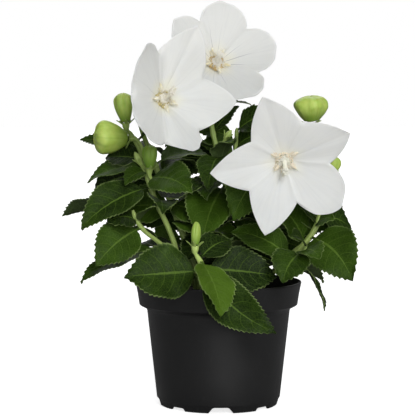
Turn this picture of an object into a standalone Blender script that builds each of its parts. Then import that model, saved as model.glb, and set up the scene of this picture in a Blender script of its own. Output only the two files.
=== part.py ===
"""Potted balloon flower: a white-flowered perennial in a black plastic nursery pot.

Metres, +Z up. The origin is the middle of the pot's base, on the surface it stands on.
The front of the plant faces -Y. Angles are degrees, counted from +X towards +Y.
"""
import math
import random
from collections import namedtuple

import bmesh
import bpy
from mathutils import Quaternion, Vector
from mathutils.bvhtree import BVHTree

# Driving dimensions
GAP = 0.0003
MERGE_DISTANCE = 0.00001
POT_RIM_RADIUS = 0.0515
POT_BAND_RADIUS = 0.0492
POT_SHOULDER_RADIUS = 0.0445
POT_FOOT_RADIUS = 0.0384
POT_SKIRT_RADIUS = 0.0367
POT_HEIGHT = 0.0765
POT_BAND_BOTTOM = 0.0625
POT_SHOULDER_HEIGHT = 0.0600
POT_FOOT_HEIGHT = 0.0048
POT_WALL = 0.0013
POT_FLOOR_HEIGHT = 0.0055
POT_BOSS_RADIUS = 0.0080
POT_NOTCH_HEIGHT = 0.0034
POT_STEP_HEIGHT = 0.0018
POT_FRONT = -88.0
POT_CUTS = (-7.5, 7.5, 12.0, 24.0, 36.0, 39.0, 51.0, 54.0, 66.0, 78.0)
DRAIN_RADIUS = 0.0035
DRAIN_CIRCLE_RADIUS = 0.0250
DRAIN_COUNT = 4

SOIL_HEIGHT = 0.0680
ROOT_DEPTH = 0.0120
LEAF_THICKNESS = 0.0008
LEAF_CLEARANCE = 0.0007
LARGE_LEAF_ROWS = 9
LARGE_LEAF_LENGTH = 0.034
LEAF_ROWS = 7
LEAF_TOOTH_DEPTH = 0.13
LEAF_FOLD = 17.0
PETIOLE_HALF_WIDTH = 0.0009
PETIOLE_SHARE = 0.12
STEM_SIDES = 5
HOLE_SIDES = 6
STEM_STEP = 0.015
STEM_TIP_SHARE = 0.6
BRANCH_RADIUS = 0.0011
COLLAR_HEIGHT = 0.0015
FORK_SHARE = 0.22
PETAL_THICKNESS = 0.0008
SEPAL_LENGTH = 0.0085
BUD_SEPAL_LENGTH = 0.0062
SEPAL_WIDTH = 0.0024
BUD_SEPAL_WIDTH = 0.0018
SEPAL_THICKNESS = 0.0009
BLOOM_CALYX_RADIUS = 0.0040
BUD_CALYX_RADIUS = 0.0024
BLOOM_CALYX_LENGTH = 0.0078
BUD_CALYX_LENGTH = 0.0042
LOBES = 5
SHARP_ANGLE = 40.0

COLOURS = {
    "pot": ((0.016, 0.016, 0.017), 0.45),
    "soil": ((0.040, 0.026, 0.017), 0.95),
    "stem": ((0.060, 0.150, 0.035), 0.50),
    "corolla": ((0.800, 0.800, 0.780), 0.55),
    "stamens": ((0.700, 0.560, 0.320), 0.60),
    "bud": ((0.420, 0.560, 0.160), 0.50),
}

# A leaf starts at a height on its stem and points where turn says. Its tip lies rise above its
# root, its middle stands arch above the straight line between them, and roll leans its upper
# face to the right of the way it points.
Leaf = namedtuple("Leaf", "height turn length rise width arch roll")

# A tuft is a run of leaves that a stem grows by rule, from one height to another.
Tuft = namedtuple("Tuft", "low high count first_turn sweep length width rise")

# A sprout is a small green side bud that is one piece with its stem.
Sprout = namedtuple("Sprout", "height tip radius")

# A bud or bloom sits at its base and looks along its azimuth and elevation.
Bud = namedtuple("Bud", "base azimuth elevation length radius neck widest hug")
Bloom = namedtuple("Bloom", "base azimuth elevation spin bowl tips notches stamens")

# Each tip of a bloom's lobes is its turn away from an even spacing, its reach from the axis, its
# lift along the axis and how round it is, from 0, pointed, to 1. A notch has no roundness. The
# stamens stand at these turns from the upper side, clockwise as seen from the front.
BLOOMS = {
    "right": Bloom(
        base=(0.038, -0.045, 0.153), azimuth=-86, elevation=-14, spin=-18, bowl=0.0015,
        tips=[(-2, 0.0445, 0.020, 0.0), (6, 0.0413, 0.020, 0.0), (0, 0.0405, 0.019, 0.8),
              (-2, 0.0424, 0.020, 0.0), (-4, 0.0446, 0.020, 0.0)],
        notches=[(1, 0.0269, 0.010), (-1, 0.0268, 0.010), (0, 0.0249, 0.010),
                 (-1, 0.0262, 0.011), (-2, 0.0248, 0.011)],
        stamens=(58, 128, 178, 224, 294)),
    "left": Bloom(
        base=(-0.035, -0.030, 0.1885), azimuth=-54, elevation=10, spin=-46, bowl=0.0010,
        tips=[(5, 0.0358, 0.026, 0.5), (-4, 0.0433, 0.025, 0.1), (-1, 0.0400, 0.024, 0.1),
              (5, 0.0345, 0.024, 0.9), (-18, 0.0380, 0.024, 0.7)],
        notches=[(-3, 0.0274, 0.010), (4, 0.0275, 0.011), (5, 0.0277, 0.011),
                 (-10, 0.0291, 0.011), (-5, 0.0283, 0.011)],
        stamens=(50, 118, 178, 262, 336)),
    "top": Bloom(
        base=(-0.002, 0.014, 0.2105), azimuth=-74, elevation=26, spin=13, bowl=0.0020,
        tips=[(-2, 0.0358, 0.019, 1.0), (-2, 0.0355, 0.018, 0.9), (-8, 0.0349, 0.020, 0.9),
              (-6, 0.0340, 0.010, 1.0), (7, 0.0355, 0.019, 0.6)],
        notches=[(-3, 0.0268, 0.014), (-3, 0.0257, 0.014), (-8, 0.0268, 0.010),
                 (0, 0.0255, 0.010), (-1, 0.0258, 0.014)],
        stamens=(36, 122, 178, 258, 340)),
}

# A bud's neck is its radius just above its base, widest is the share of its length at which its
# radius is full, and hug is how steeply its sepals rise beside it.
BUDS = {
    "bud_left_balloon": Bud(
        (-0.055, -0.014, 0.165), -172, 2, 0.0215, 0.0104, 0.0036, 0.68, 0.70),
    "bud_left_upper": Bud(
        (-0.057, -0.006, 0.1745), 150, 82, 0.0185, 0.0059, 0.0027, 0.72, 1.00),
    "bud_left_small": Bud(
        (-0.042, -0.020, 0.147), -60, 86, 0.0145, 0.0047, 0.0021, 0.60, 1.15),
    "bud_right": Bud(
        (0.058, 0.005, 0.175), 200, 86, 0.0165, 0.0108, 0.0042, 0.62, 0.55),
    "bud_right_low": Bud(
        (0.070, 0.002, 0.143), 40, 70, 0.0110, 0.0044, 0.0020, 0.60, 1.05),
    "bud_front": Bud(
        (-0.014, -0.053, 0.103), 60, 84, 0.0140, 0.0029, 0.0019, 0.46, 1.20),
}

# Each stem stands in the soil at its root and follows its route. It ends in a bloom, a bud or a
# leafy tip, and each branch leaves it at a height for a bud of its own.
Branch = namedtuple("Branch", "height route bud")
Stem = namedtuple("Stem", "root route radius ends_in branches sprouts leaves tufts")

STEMS = {
    "stem_front": Stem(
        root=(-0.008, -0.024),
        route=[(-0.008, -0.034, 0.079), (-0.010, -0.045, 0.087), (-0.011, -0.051, 0.093),
               (-0.014, -0.053, 0.098)],
        radius=(0.0018, 0.0013), ends_in="bud_front", branches=[], sprouts=[],
        leaves=[
            Leaf(0.087, -165, 0.047, -0.002, 0.037, 0.000, -62),
            Leaf(0.0935, -64, 0.041, -0.029, 0.029, 0.002, -16),
            Leaf(0.088, -11, 0.046, -0.005, 0.031, 0.001, 64),
            Leaf(0.0915, -21, 0.060, -0.038, 0.028, -0.006, 68),
            Leaf(0.094, 44, 0.028, 0.008, 0.020, 0.003, 40)],
        tufts=[]),
    "stem_left_low": Stem(
        root=(-0.024, 0.008),
        route=[(-0.030, -0.004, 0.090), (-0.036, -0.016, 0.101), (-0.045, -0.022, 0.109),
               (-0.050, -0.024, 0.116), (-0.052, -0.024, 0.122)],
        radius=(0.0017, 0.0012), ends_in=None, branches=[], sprouts=[],
        leaves=[
            Leaf(0.118, 151, 0.053, 0.000, 0.027, 0.003, 25),
            Leaf(0.115, -179, 0.021, -0.002, 0.022, 0.003, -40),
            Leaf(0.114, -54, 0.023, 0.011, 0.013, 0.002, 20),
            Leaf(0.111, -141, 0.040, -0.021, 0.028, 0.003, -52),
            Leaf(0.098, -158, 0.056, -0.018, 0.022, 0.003, -20)],
        tufts=[Tuft(0.082, 0.100, 2, 120, 60, 0.036, 0.022, 0.000)]),
    "stem_right_low": Stem(
        root=(0.022, -0.018),
        route=[(0.032, -0.026, 0.084), (0.043, -0.034, 0.091), (0.050, -0.038, 0.097),
               (0.052, -0.039, 0.102)],
        radius=(0.0017, 0.0012), ends_in=None, branches=[], sprouts=[],
        leaves=[
            Leaf(0.097, -128, 0.026, -0.016, 0.025, 0.004, -24),
            Leaf(0.100, -126, 0.017, 0.003, 0.014, 0.001, -45),
            Leaf(0.096, -59, 0.020, -0.010, 0.019, 0.002, 20),
            Leaf(0.094, -41, 0.037, -0.030, 0.017, 0.002, -30),
            Leaf(0.092, 163, 0.042, 0.015, 0.025, 0.004, -40),
            Leaf(0.088, -162, 0.035, 0.003, 0.026, 0.004, -35)],
        tufts=[]),
    "stem_left": Stem(
        root=(-0.020, -0.008),
        route=[(-0.027, -0.010, 0.100), (-0.036, -0.014, 0.122), (-0.041, -0.016, 0.134),
               (-0.046, -0.014, 0.151), (-0.049, -0.011, 0.160), (-0.054, -0.008, 0.168)],
        radius=(0.0019, 0.0013), ends_in="bud_left_upper",
        branches=[
            Branch(0.153, [(-0.047, -0.015, 0.160)], "bud_left_balloon"),
            Branch(0.130, [(-0.0405, -0.019, 0.139)], "bud_left_small")],
        sprouts=[Sprout(0.140, (-0.051, -0.019, 0.157), 0.0022)],
        leaves=[
            Leaf(0.135, -151, 0.052, -0.023, 0.028, 0.004, -40),
            Leaf(0.140, -51, 0.043, -0.006, 0.026, 0.004, 42),
            Leaf(0.144, -146, 0.020, 0.002, 0.013, 0.003, -30),
            Leaf(0.152, 152, 0.025, -0.001, 0.020, 0.003, -45),
            Leaf(0.162, -56, 0.016, 0.012, 0.009, 0.001, 10),
            Leaf(0.134, -11, 0.032, 0.003, 0.025, -0.002, 35),
            Leaf(0.139, 149, 0.048, -0.017, 0.030, 0.009, -48),
            Leaf(0.146, 170, 0.038, -0.008, 0.020, 0.004, -30)],
        tufts=[Tuft(0.085, 0.122, 3, 70, 100, 0.046, 0.030, 0.002)]),
    "stem_bloom_left": Stem(
        root=(-0.010, 0.000),
        route=[(-0.020, 0.000, 0.100), (-0.032, 0.004, 0.130), (-0.042, 0.006, 0.155),
               (-0.048, 0.002, 0.172), (-0.047, -0.010, 0.184)],
        radius=(0.0019, 0.0014), ends_in="left", branches=[], sprouts=[],
        leaves=[
            Leaf(0.146, 180, 0.044, -0.020, 0.030, 0.007, -35),
            Leaf(0.154, 163, 0.049, 0.010, 0.016, 0.002, -45),
            Leaf(0.148, 20, 0.038, 0.004, 0.024, 0.005, 20),
            Leaf(0.113, -80, 0.034, -0.010, 0.026, 0.004, 10),
            Leaf(0.124, -50, 0.040, -0.004, 0.028, 0.004, 30),
            Leaf(0.120, 172, 0.034, 0.000, 0.028, 0.003, -65)],
        tufts=[Tuft(0.082, 0.142, 6, 80, 137, 0.048, 0.031, 0.002)]),
    "stem_bloom_top": Stem(
        root=(-0.002, 0.006),
        route=[(0.003, 0.008, 0.105), (0.005, 0.007, 0.132), (0.000, 0.006, 0.154),
               (-0.004, 0.009, 0.172), (-0.005, 0.020, 0.192), (-0.005, 0.025, 0.203)],
        radius=(0.0020, 0.0014), ends_in="top", branches=[],
        sprouts=[Sprout(0.157, (0.008, 0.000, 0.170), 0.0020)],
        leaves=[
            Leaf(0.135, -110, 0.051, -0.030, 0.036, 0.005, -8),
            Leaf(0.152, -101, 0.041, -0.018, 0.021, 0.006, 0),
            Leaf(0.156, -157, 0.036, 0.005, 0.022, 0.004, -10),
            Leaf(0.148, -79, 0.026, 0.015, 0.020, 0.003, 20),
            Leaf(0.168, -22, 0.024, 0.017, 0.013, 0.001, 60),
            Leaf(0.186, 12, 0.026, 0.000, 0.010, 0.001, 10),
            Leaf(0.088, 165, 0.022, -0.001, 0.018, 0.002, -60)],
        tufts=[Tuft(0.084, 0.150, 6, 60, 137, 0.048, 0.031, 0.000)]),
    "stem_bloom_right": Stem(
        root=(0.016, -0.006),
        route=[(0.024, -0.006, 0.102), (0.033, -0.008, 0.125), (0.037, -0.012, 0.145),
               (0.039, -0.020, 0.156), (0.039, -0.031, 0.157)],
        radius=(0.0019, 0.0014), ends_in="right", branches=[], sprouts=[],
        leaves=[
            Leaf(0.150, -147, 0.049, -0.034, 0.032, 0.006, -46),
            Leaf(0.112, -167, 0.026, 0.000, 0.018, 0.003, -5)],
        tufts=[Tuft(0.084, 0.142, 5, 40, 137, 0.048, 0.031, 0.000)]),
    "stem_right": Stem(
        root=(0.026, 0.006),
        route=[(0.040, 0.002, 0.088), (0.053, -0.006, 0.100), (0.061, -0.007, 0.113),
               (0.065, -0.002, 0.130), (0.063, 0.003, 0.152), (0.059, 0.005, 0.166)],
        radius=(0.0019, 0.0012), ends_in="bud_right",
        branches=[Branch(0.126, [(0.068, 0.001, 0.136)], "bud_right_low")], sprouts=[],
        leaves=[
            Leaf(0.104, -48, 0.044, -0.024, 0.034, 0.006, 50),
            Leaf(0.100, -154, 0.034, 0.026, 0.034, 0.003, -60),
            Leaf(0.1155, 25, 0.024, -0.007, 0.023, 0.003, 55),
            Leaf(0.112, -54, 0.017, 0.004, 0.016, 0.002, 48),
            Leaf(0.096, -14, 0.026, -0.011, 0.016, 0.002, 20),
            Leaf(0.112, -124, 0.017, 0.011, 0.010, 0.001, -50)],
        tufts=[Tuft(0.092, 0.124, 3, 100, 60, 0.034, 0.021, 0.004)]),
    "stem_back_left": Stem(
        root=(-0.014, 0.020),
        route=[(-0.022, 0.026, 0.100), (-0.030, 0.030, 0.130), (-0.034, 0.030, 0.152)],
        radius=(0.0019, 0.0012), ends_in=None, branches=[], sprouts=[],
        leaves=[
            Leaf(0.116, -170, 0.031, -0.004, 0.026, 0.003, -60),
            Leaf(0.126, -8, 0.035, -0.002, 0.028, 0.003, 60),
            Leaf(0.141, 180, 0.035, -0.004, 0.028, 0.003, -68),
            Leaf(0.149, -10, 0.034, 0.000, 0.026, 0.003, 68),
            Leaf(0.108, 4, 0.036, 0.000, 0.030, 0.003, 66),
            Leaf(0.102, -163, 0.021, -0.002, 0.026, 0.003, -66),
            Leaf(0.095, -6, 0.030, 0.000, 0.026, 0.003, 66)],
        tufts=[Tuft(0.082, 0.150, 7, 140, 137, 0.048, 0.031, 0.004)]),
    "stem_back_middle": Stem(
        root=(0.004, 0.024),
        route=[(0.006, 0.032, 0.105), (0.010, 0.034, 0.140), (0.012, 0.032, 0.171)],
        radius=(0.0019, 0.0012), ends_in=None, branches=[], sprouts=[],
        leaves=[
            Leaf(0.168, -29, 0.028, 0.011, 0.020, 0.003, 62),
            Leaf(0.157, -41, 0.025, 0.010, 0.022, 0.004, 60),
            Leaf(0.161, -150, 0.029, 0.008, 0.020, 0.003, -55),
            Leaf(0.094, -172, 0.033, 0.000, 0.026, 0.003, -60),
            Leaf(0.110, 170, 0.042, 0.000, 0.028, 0.003, -66),
            Leaf(0.120, -6, 0.034, 0.000, 0.026, 0.003, 66),
            Leaf(0.106, -15, 0.031, 0.000, 0.029, 0.003, 66),
            Leaf(0.150, -147, 0.028, 0.002, 0.026, 0.003, -62)],
        tufts=[Tuft(0.084, 0.150, 7, 70, 137, 0.048, 0.031, 0.004)]),
    "stem_back_right": Stem(
        root=(0.022, 0.020),
        route=[(0.030, 0.028, 0.100), (0.036, 0.032, 0.125), (0.038, 0.032, 0.146)],
        radius=(0.0019, 0.0012), ends_in=None, branches=[], sprouts=[],
        leaves=[
            Leaf(0.110, -21, 0.049, 0.002, 0.028, 0.003, 66),
            Leaf(0.124, -12, 0.042, -0.004, 0.028, 0.003, 68),
            Leaf(0.101, -25, 0.033, -0.004, 0.026, 0.003, 66)],
        tufts=[Tuft(0.082, 0.142, 7, 20, 137, 0.048, 0.031, 0.002)]),
}


def clear_scene():
    """Remove whatever the opened scene holds."""
    for item in list(bpy.data.objects):
        bpy.data.objects.remove(item, do_unlink=True)


def shaped_grid(columns, rows, place):
    """Make a grid of quads whose corners lie where place(across, along) says, each from 0 to 1."""
    mesh = bmesh.new()
    bmesh.ops.create_grid(mesh, x_segments=columns, y_segments=rows, size=0.5)
    for vertex in mesh.verts:
        vertex.co = place(vertex.co.x + 0.5, vertex.co.y + 0.5)
    bmesh.ops.remove_doubles(mesh, verts=mesh.verts, dist=MERGE_DISTANCE)
    return mesh


def closed(mesh):
    """Split a closed body into triangles and turn them outwards."""
    bmesh.ops.triangulate(mesh, faces=mesh.faces, quad_method="FIXED")
    bmesh.ops.recalc_face_normals(mesh, faces=mesh.faces)
    return mesh


def thickened(sheet, thickness):
    """Give a sheet a wall on the side its faces look to, in triangles alike on both faces."""
    bmesh.ops.triangulate(sheet, faces=sheet.faces, quad_method="FIXED")
    sheet.normal_update()
    bmesh.ops.solidify(sheet, geom=sheet.faces, thickness=thickness)
    return closed(sheet)


def plain_material(name, look):
    """A Principled material with one colour and roughness."""
    colour, roughness = COLOURS[look]
    material = bpy.data.materials.new(name)
    material.use_nodes = True
    shader = material.node_tree.nodes["Principled BSDF"]
    shader.inputs["Base Color"].default_value = (*colour, 1.0)
    shader.inputs["Roughness"].default_value = roughness
    shader.inputs["Metallic"].default_value = 0.0
    return material


def add_object(name, mesh):
    """Keep a bmesh as a named object."""
    data = bpy.data.meshes.new(name)
    mesh.to_mesh(data)
    mesh.free()
    item = bpy.data.objects.new(name, data)
    bpy.context.scene.collection.objects.link(item)
    return item


def finished(piece, look):
    """Give a piece a material of its own and shade its round faces smooth."""
    piece.data.materials.clear()
    piece.data.materials.append(plain_material(piece.name, look))
    piece.data.shade_smooth()
    piece.data.set_sharp_from_angle(angle=math.radians(SHARP_ANGLE))
    return piece


def combine(piece, cutters, operation):
    """Apply one Boolean with every cutter to the piece, then drop the cutters."""
    group = bpy.data.collections.new(piece.name + "_parts")
    bpy.context.scene.collection.children.link(group)
    for cutter in cutters:
        bpy.context.scene.collection.objects.unlink(cutter)
        group.objects.link(cutter)
    modifier = piece.modifiers.new("combine", "BOOLEAN")
    modifier.operation = operation
    modifier.operand_type = "COLLECTION"
    modifier.collection = group
    modifier.solver = "EXACT"
    bpy.context.view_layer.update()
    evaluated = piece.evaluated_get(bpy.context.evaluated_depsgraph_get())
    result = bpy.data.meshes.new_from_object(evaluated)
    piece.modifiers.clear()
    piece.data = result
    for cutter in cutters:
        bpy.data.objects.remove(cutter, do_unlink=True)
    bpy.data.collections.remove(group)
    return piece


def direction(azimuth, elevation):
    """The unit vector that an azimuth and an elevation give."""
    around = math.radians(azimuth)
    up = math.radians(elevation)
    return Vector((math.cos(up) * math.cos(around), math.cos(up) * math.sin(around), math.sin(up)))


def flower_frame(flower):
    """A bud's or bloom's base, axis, right-hand side and upper side, seen from its front."""
    axis = direction(flower.azimuth, flower.elevation)
    side = Vector((0, 0, 1)).cross(axis).normalized()
    return Vector(flower.base), axis, side, axis.cross(side)


def smooth_path(points, step):
    """Points about a step apart on a smooth curve through all but the first and last point."""
    path = [points[1]]
    for before, start, end, after in zip(points, points[1:], points[2:], points[3:]):
        count = max(1, round((end - start).length / step))
        for index in range(1, count + 1):
            t = index / count
            path.append(0.5 * (2 * start + (end - before) * t
                               + (2 * before - 5 * start + 4 * end - after) * t ** 2
                               + (3 * start - before - 3 * end + after) * t ** 3))
    return path


def tube(path, radii, sides=STEM_SIDES):
    """A closed round bar along a path, as thick at each point as its radius says."""
    tangents = [(path[min(i + 1, len(path) - 1)] - path[max(i - 1, 0)]).normalized()
                for i in range(len(path))]
    side = tangents[0].orthogonal().normalized()
    frames = []
    for tangent in tangents:
        side = (side - tangent * side.dot(tangent)).normalized()
        frames.append((side, tangent.cross(side)))
    rows = len(path) + 1

    def place(across, along):
        row = round(along * rows)
        ring = min(max(row - 1, 0), len(path) - 1)
        radius = 0.0 if row in (0, rows) else radii[ring]
        angle = math.tau * across
        across_vector = frames[ring][0] * math.cos(angle) + frames[ring][1] * math.sin(angle)
        return path[ring] + across_vector * radius

    return closed(shaped_grid(sides, rows, place))


def flower_of(name):
    """The bloom or bud that a stem ends in."""
    return BLOOMS[name] if name in BLOOMS else BUDS[name]


def path_end(name):
    """The last two points of a stem that carries a flower, and its calyx radius."""
    base, axis, _, _ = flower_frame(flower_of(name))
    if name in BLOOMS:
        seat = base - axis * (PETAL_THICKNESS + 2 * GAP)
        return [base - axis * BLOOM_CALYX_LENGTH, seat], BLOOM_CALYX_RADIUS
    return [base - axis * BUD_CALYX_LENGTH, base - axis * GAP], BUD_CALYX_RADIUS


def stem_tube_path(stem):
    """A stem's path from the foot of its root to its end, with a radius at each point."""
    foot = Vector((*stem.root, SOIL_HEIGHT - ROOT_DEPTH))
    collar = Vector((*stem.root, SOIL_HEIGHT + COLLAR_HEIGHT))
    points = [foot, collar] + [Vector(point) for point in stem.route]
    calyx = None
    if stem.ends_in:
        end, calyx = path_end(stem.ends_in)
        points += end
    points.append(2 * points[-1] - points[-2])
    path = [foot] + smooth_path(points, STEM_STEP)
    thick, thin = stem.radius
    radii = [thick + (thin - thick) * i / (len(path) - 1) for i in range(len(path))]
    if calyx:
        radii[-1] = calyx
    else:
        radii[-1] = thin * STEM_TIP_SHARE
    return path, radii


def branch_path(start, branch):
    """A branch's path from inside its stem to the bud that it carries."""
    end, calyx = path_end(branch.bud)
    points = [start] + [Vector(point) for point in branch.route] + end
    points = [2 * points[0] - points[1]] + points + [2 * points[-1] - points[-2]]
    path = smooth_path(points, STEM_STEP)
    radii = [BRANCH_RADIUS] * (len(path) - 1) + [calyx]
    return path, radii


def point_at_height(path, height):
    """The first point of a path at the given height."""
    for low, high in zip(path, path[1:]):
        if low.z <= height <= high.z:
            return low.lerp(high, (height - low.z) / (high.z - low.z))
    return path[-1].copy()


def leaf_half_width(along, width):
    """Half the blade's width at a share of its length, with its narrow stalk first."""
    if along <= PETIOLE_SHARE:
        return PETIOLE_HALF_WIDTH
    share = (along - PETIOLE_SHARE) / (1 - PETIOLE_SHARE)
    widest = 0.40
    rise_power = 0.66
    fall_power = rise_power * (1 - widest) / widest
    form = (share / widest) ** rise_power * ((1 - share) / (1 - widest)) ** fall_power
    return PETIOLE_HALF_WIDTH * (1 - share) + (width / 2 - PETIOLE_HALF_WIDTH * (1 - share)) * form


def leaf_sheet(root, leaf, rows, columns=2, tooth=0.0, start=0.0, fold=LEAF_FOLD, spread=0.0):
    """A leaf's blade as a sheet: arched, folded along its midrib and cut into teeth."""
    run = math.sqrt(max(leaf.length ** 2 - leaf.rise ** 2, 0.0))
    turn = math.radians(leaf.turn)
    chord = Vector((math.cos(turn) * run, math.sin(turn) * run, leaf.rise))
    level_side = Vector((-math.sin(turn), math.cos(turn), 0))
    lift = chord.cross(level_side).normalized() * leaf.arch * 2
    side = Quaternion(chord, math.radians(leaf.roll)) @ level_side
    cosine = math.cos(math.radians(fold))
    sine = math.sin(math.radians(fold))

    def place(across, along):
        row = round(along * rows)
        share = start + (1 - start) * along
        centre = root + chord * share + lift * (2 * share * (1 - share))
        tangent = (chord + lift * (2 - 4 * share)).normalized()
        normal = tangent.cross(side).normalized()
        half = 0.0 if row == rows else leaf_half_width(share, leaf.width) + spread
        if tooth and share > PETIOLE_SHARE and row < rows:
            half *= 1 - tooth if row % 2 else 1 + tooth * 0.3
        offset = (across - 0.5) * 2
        return centre + side * (offset * half * cosine) + normal * (abs(offset) * half * sine)

    return shaped_grid(columns, rows, place)


def leaf_solid(root, leaf, rows):
    """A leaf as a thin closed body."""
    return thickened(leaf_sheet(root, leaf, rows, tooth=LEAF_TOOTH_DEPTH), LEAF_THICKNESS)


def tree_of(meshes):
    """One search tree for the faces of several meshes."""
    points = []
    faces = []
    for mesh in meshes:
        first = len(points)
        points += [vertex.co.copy() for vertex in mesh.verts]
        mesh.verts.index_update()
        faces += [[first + vertex.index for vertex in face.verts] for face in mesh.faces]
    return BVHTree.FromPolygons(points, faces)


def test_blade(root, leaf, start):
    """A wider blade with room above and below it, for finding what a leaf would cross."""
    layers = []
    for thickness in (LEAF_THICKNESS + LEAF_CLEARANCE, -LEAF_CLEARANCE):
        sheet = leaf_sheet(root, leaf, 8, start=start, spread=LEAF_CLEARANCE)
        layers.append(thickened(sheet, thickness))
    tree = tree_of(layers)
    for layer in layers:
        layer.free()
    return tree


class Thicket:
    """Everything placed so far, node by node, that a new leaf has to keep clear of."""

    def __init__(self):
        self.meshes = {}
        self.trees = {}

    def add(self, node, mesh):
        self.meshes.setdefault(node, []).append(mesh)
        self.trees[node] = tree_of(self.meshes[node])

    def crossed(self, node, root, leaf):
        """Whether a leaf of a node would cross another node, or its own beyond the fork."""
        whole = test_blade(root, leaf, 0.0)
        outer = test_blade(root, leaf, FORK_SHARE)
        return any(tree.overlap(outer if other == node else whole)
                   for other, tree in self.trees.items())


def bend_choices():
    """Small changes of turn, rise and arch, from the least to the greatest."""
    choices = []
    for turn in (0, 4, -4, 8, -8, 14, -14, 22, -22, 32, -32, 44, -44):
        for rise in (0, 0.002, -0.002, 0.005, -0.005, 0.009, -0.009):
            for arch in (0, 0.002, -0.002):
                cost = abs(turn) / 7 + abs(rise) / 0.004 + abs(arch) / 0.003
                choices.append((cost, turn, rise, arch))
    choices.sort()
    return choices


def bend_clear(thicket, node, path, leaf):
    """The leaf, bent as little as it takes to clear its neighbours, or None."""
    root = point_at_height(path, leaf.height)
    for _, turn, rise, arch in bend_choices():
        bent_rise = max(min(leaf.rise + rise, leaf.length * 0.9), -leaf.length * 0.9)
        bent = leaf._replace(turn=leaf.turn + turn, rise=bent_rise, arch=leaf.arch + arch)
        if not thicket.crossed(node, root, bent):
            return root, bent
    return None


def tuft_leaves(name, stem):
    """The leaves that a stem's tufts grow, turned on by an even angle with small differences."""
    draw = random.Random(name)
    leaves = []
    for tuft in stem.tufts:
        for index in range(tuft.count):
            share = index / max(tuft.count - 1, 1)
            size = 1.0 - 0.35 * share + draw.uniform(-0.08, 0.08)
            leaves.append(Leaf(
                height=tuft.low + (tuft.high - tuft.low) * share,
                turn=tuft.first_turn + tuft.sweep * index + draw.uniform(-12, 12),
                length=tuft.length * size,
                rise=tuft.rise - 0.010 * (1 - share) + draw.uniform(-0.004, 0.004),
                width=tuft.width * size,
                arch=0.005 + draw.uniform(-0.001, 0.002),
                roll=draw.uniform(-18, 18)))
    return leaves


def sepal_leaves(name):
    """The five narrow sepals round a flower's calyx, each with the point it starts from."""
    flower = flower_of(name)
    base, axis, side, up = flower_frame(flower)
    blooms = name in BLOOMS
    back = 0.0022 if blooms else 0.0016
    start_radius = 0.0020 if blooms else 0.0012
    forward = 0.15 if blooms else flower.hug
    length = SEPAL_LENGTH if blooms else BUD_SEPAL_LENGTH
    width = SEPAL_WIDTH if blooms else BUD_SEPAL_WIDTH
    sepals = []
    for index in range(LOBES):
        angle = math.tau * (index + 0.5) / LOBES
        outward = side * math.cos(angle) + up * math.sin(angle)
        way = (outward + axis * forward).normalized() * length
        root = base - axis * back + outward * start_radius
        across = axis.cross(outward) * (width / 2)
        sepals.append((root, way, across))
    return sepals


def sepal_solid(root, way, across):
    """A narrow pointed sepal: a flat four-sided spike, closed at its root."""
    through = way.cross(across).normalized()

    def place(around, along):
        if along in (0, 1):
            return root + way * along
        angle = math.tau * around
        wide = across * math.cos(angle)
        return root + wide + through * (math.sin(angle) * SEPAL_THICKNESS / 2) + way * 0.12

    return closed(shaped_grid(4, 2, place))


def lobe_rays(bloom):
    """The turn, reach, lift and roundness of each lobe's tip and notch, in order."""
    rays = []
    for index in range(LOBES):
        turn, reach, lift, roundness = bloom.tips[index]
        rays.append((bloom.spin + 72 * index + turn, reach, lift, roundness))
        turn, reach, lift = bloom.notches[index]
        rays.append((bloom.spin + 72 * index + 36 + turn, reach, lift, None))
    return rays


def corolla_edge(bloom, around):
    """The corolla's turn in radians, its reach and its lift at a share of the way round."""
    rays = lobe_rays(bloom)
    place = (around % 1.0) * len(rays)
    index = int(place) % len(rays)
    share = place - int(place)
    turn_a, reach_a, lift_a, round_a = rays[index]
    turn_b, reach_b, lift_b, round_b = rays[(index + 1) % len(rays)]
    start = math.radians(turn_a)
    sweep = math.radians((turn_b - turn_a) % 360)
    roundness = round_b if round_a is None else round_a
    from_notch = share if round_a is None else 1 - share
    arc = math.sin(math.pi / 2 * from_notch) ** 0.8
    arc = arc if round_a is None else 1 - arc
    near = Vector((math.cos(start), math.sin(start))) * reach_a
    far = Vector((math.cos(start + sweep), math.sin(start + sweep))) * reach_b
    chord = far - near
    bulge = Vector((chord.y, -chord.x)) * (0.30 * share * (1 - share))
    straight = near + chord * share + bulge
    turn = start + sweep * share
    curved = Vector((math.cos(turn), math.sin(turn))) * (reach_a + (reach_b - reach_a) * arc)
    edge = straight.lerp(curved, roundness)
    weight = share + (arc - share) * roundness
    return math.atan2(edge.y, edge.x), edge.length, lift_a + (lift_b - lift_a) * weight


def corolla_point(bloom, around, outward):
    """A point of the corolla's inner face, from its middle at 0 to its edge at 1."""
    base, axis, side, up = flower_frame(bloom)
    angle, reach, lift = corolla_edge(bloom, around)
    height = 2 * outward * (1 - outward) * (lift / 2 + bloom.bowl) + outward ** 2 * lift
    spoke = up * math.cos(angle) + side * math.sin(angle)
    return base + axis * height + spoke * (reach * outward)


def corolla_solid(bloom):
    """The fused corolla with its five lobes, as a thin closed bowl."""
    def place(across, along):
        return corolla_point(bloom, across, along)

    return thickened(shaped_grid(6 * LOBES, 4, place), PETAL_THICKNESS)


def flower_lathe(flower, profile, sides):
    """A closed body turned round a flower's axis from its radii and heights."""
    base, axis, side, up = flower_frame(flower)
    rows = len(profile) - 1

    def place(across, along):
        radius, height = profile[round(along * rows)]
        angle = math.tau * across
        return base + axis * height + (side * math.cos(angle) + up * math.sin(angle)) * radius

    return closed(shaped_grid(sides, rows, place))


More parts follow.
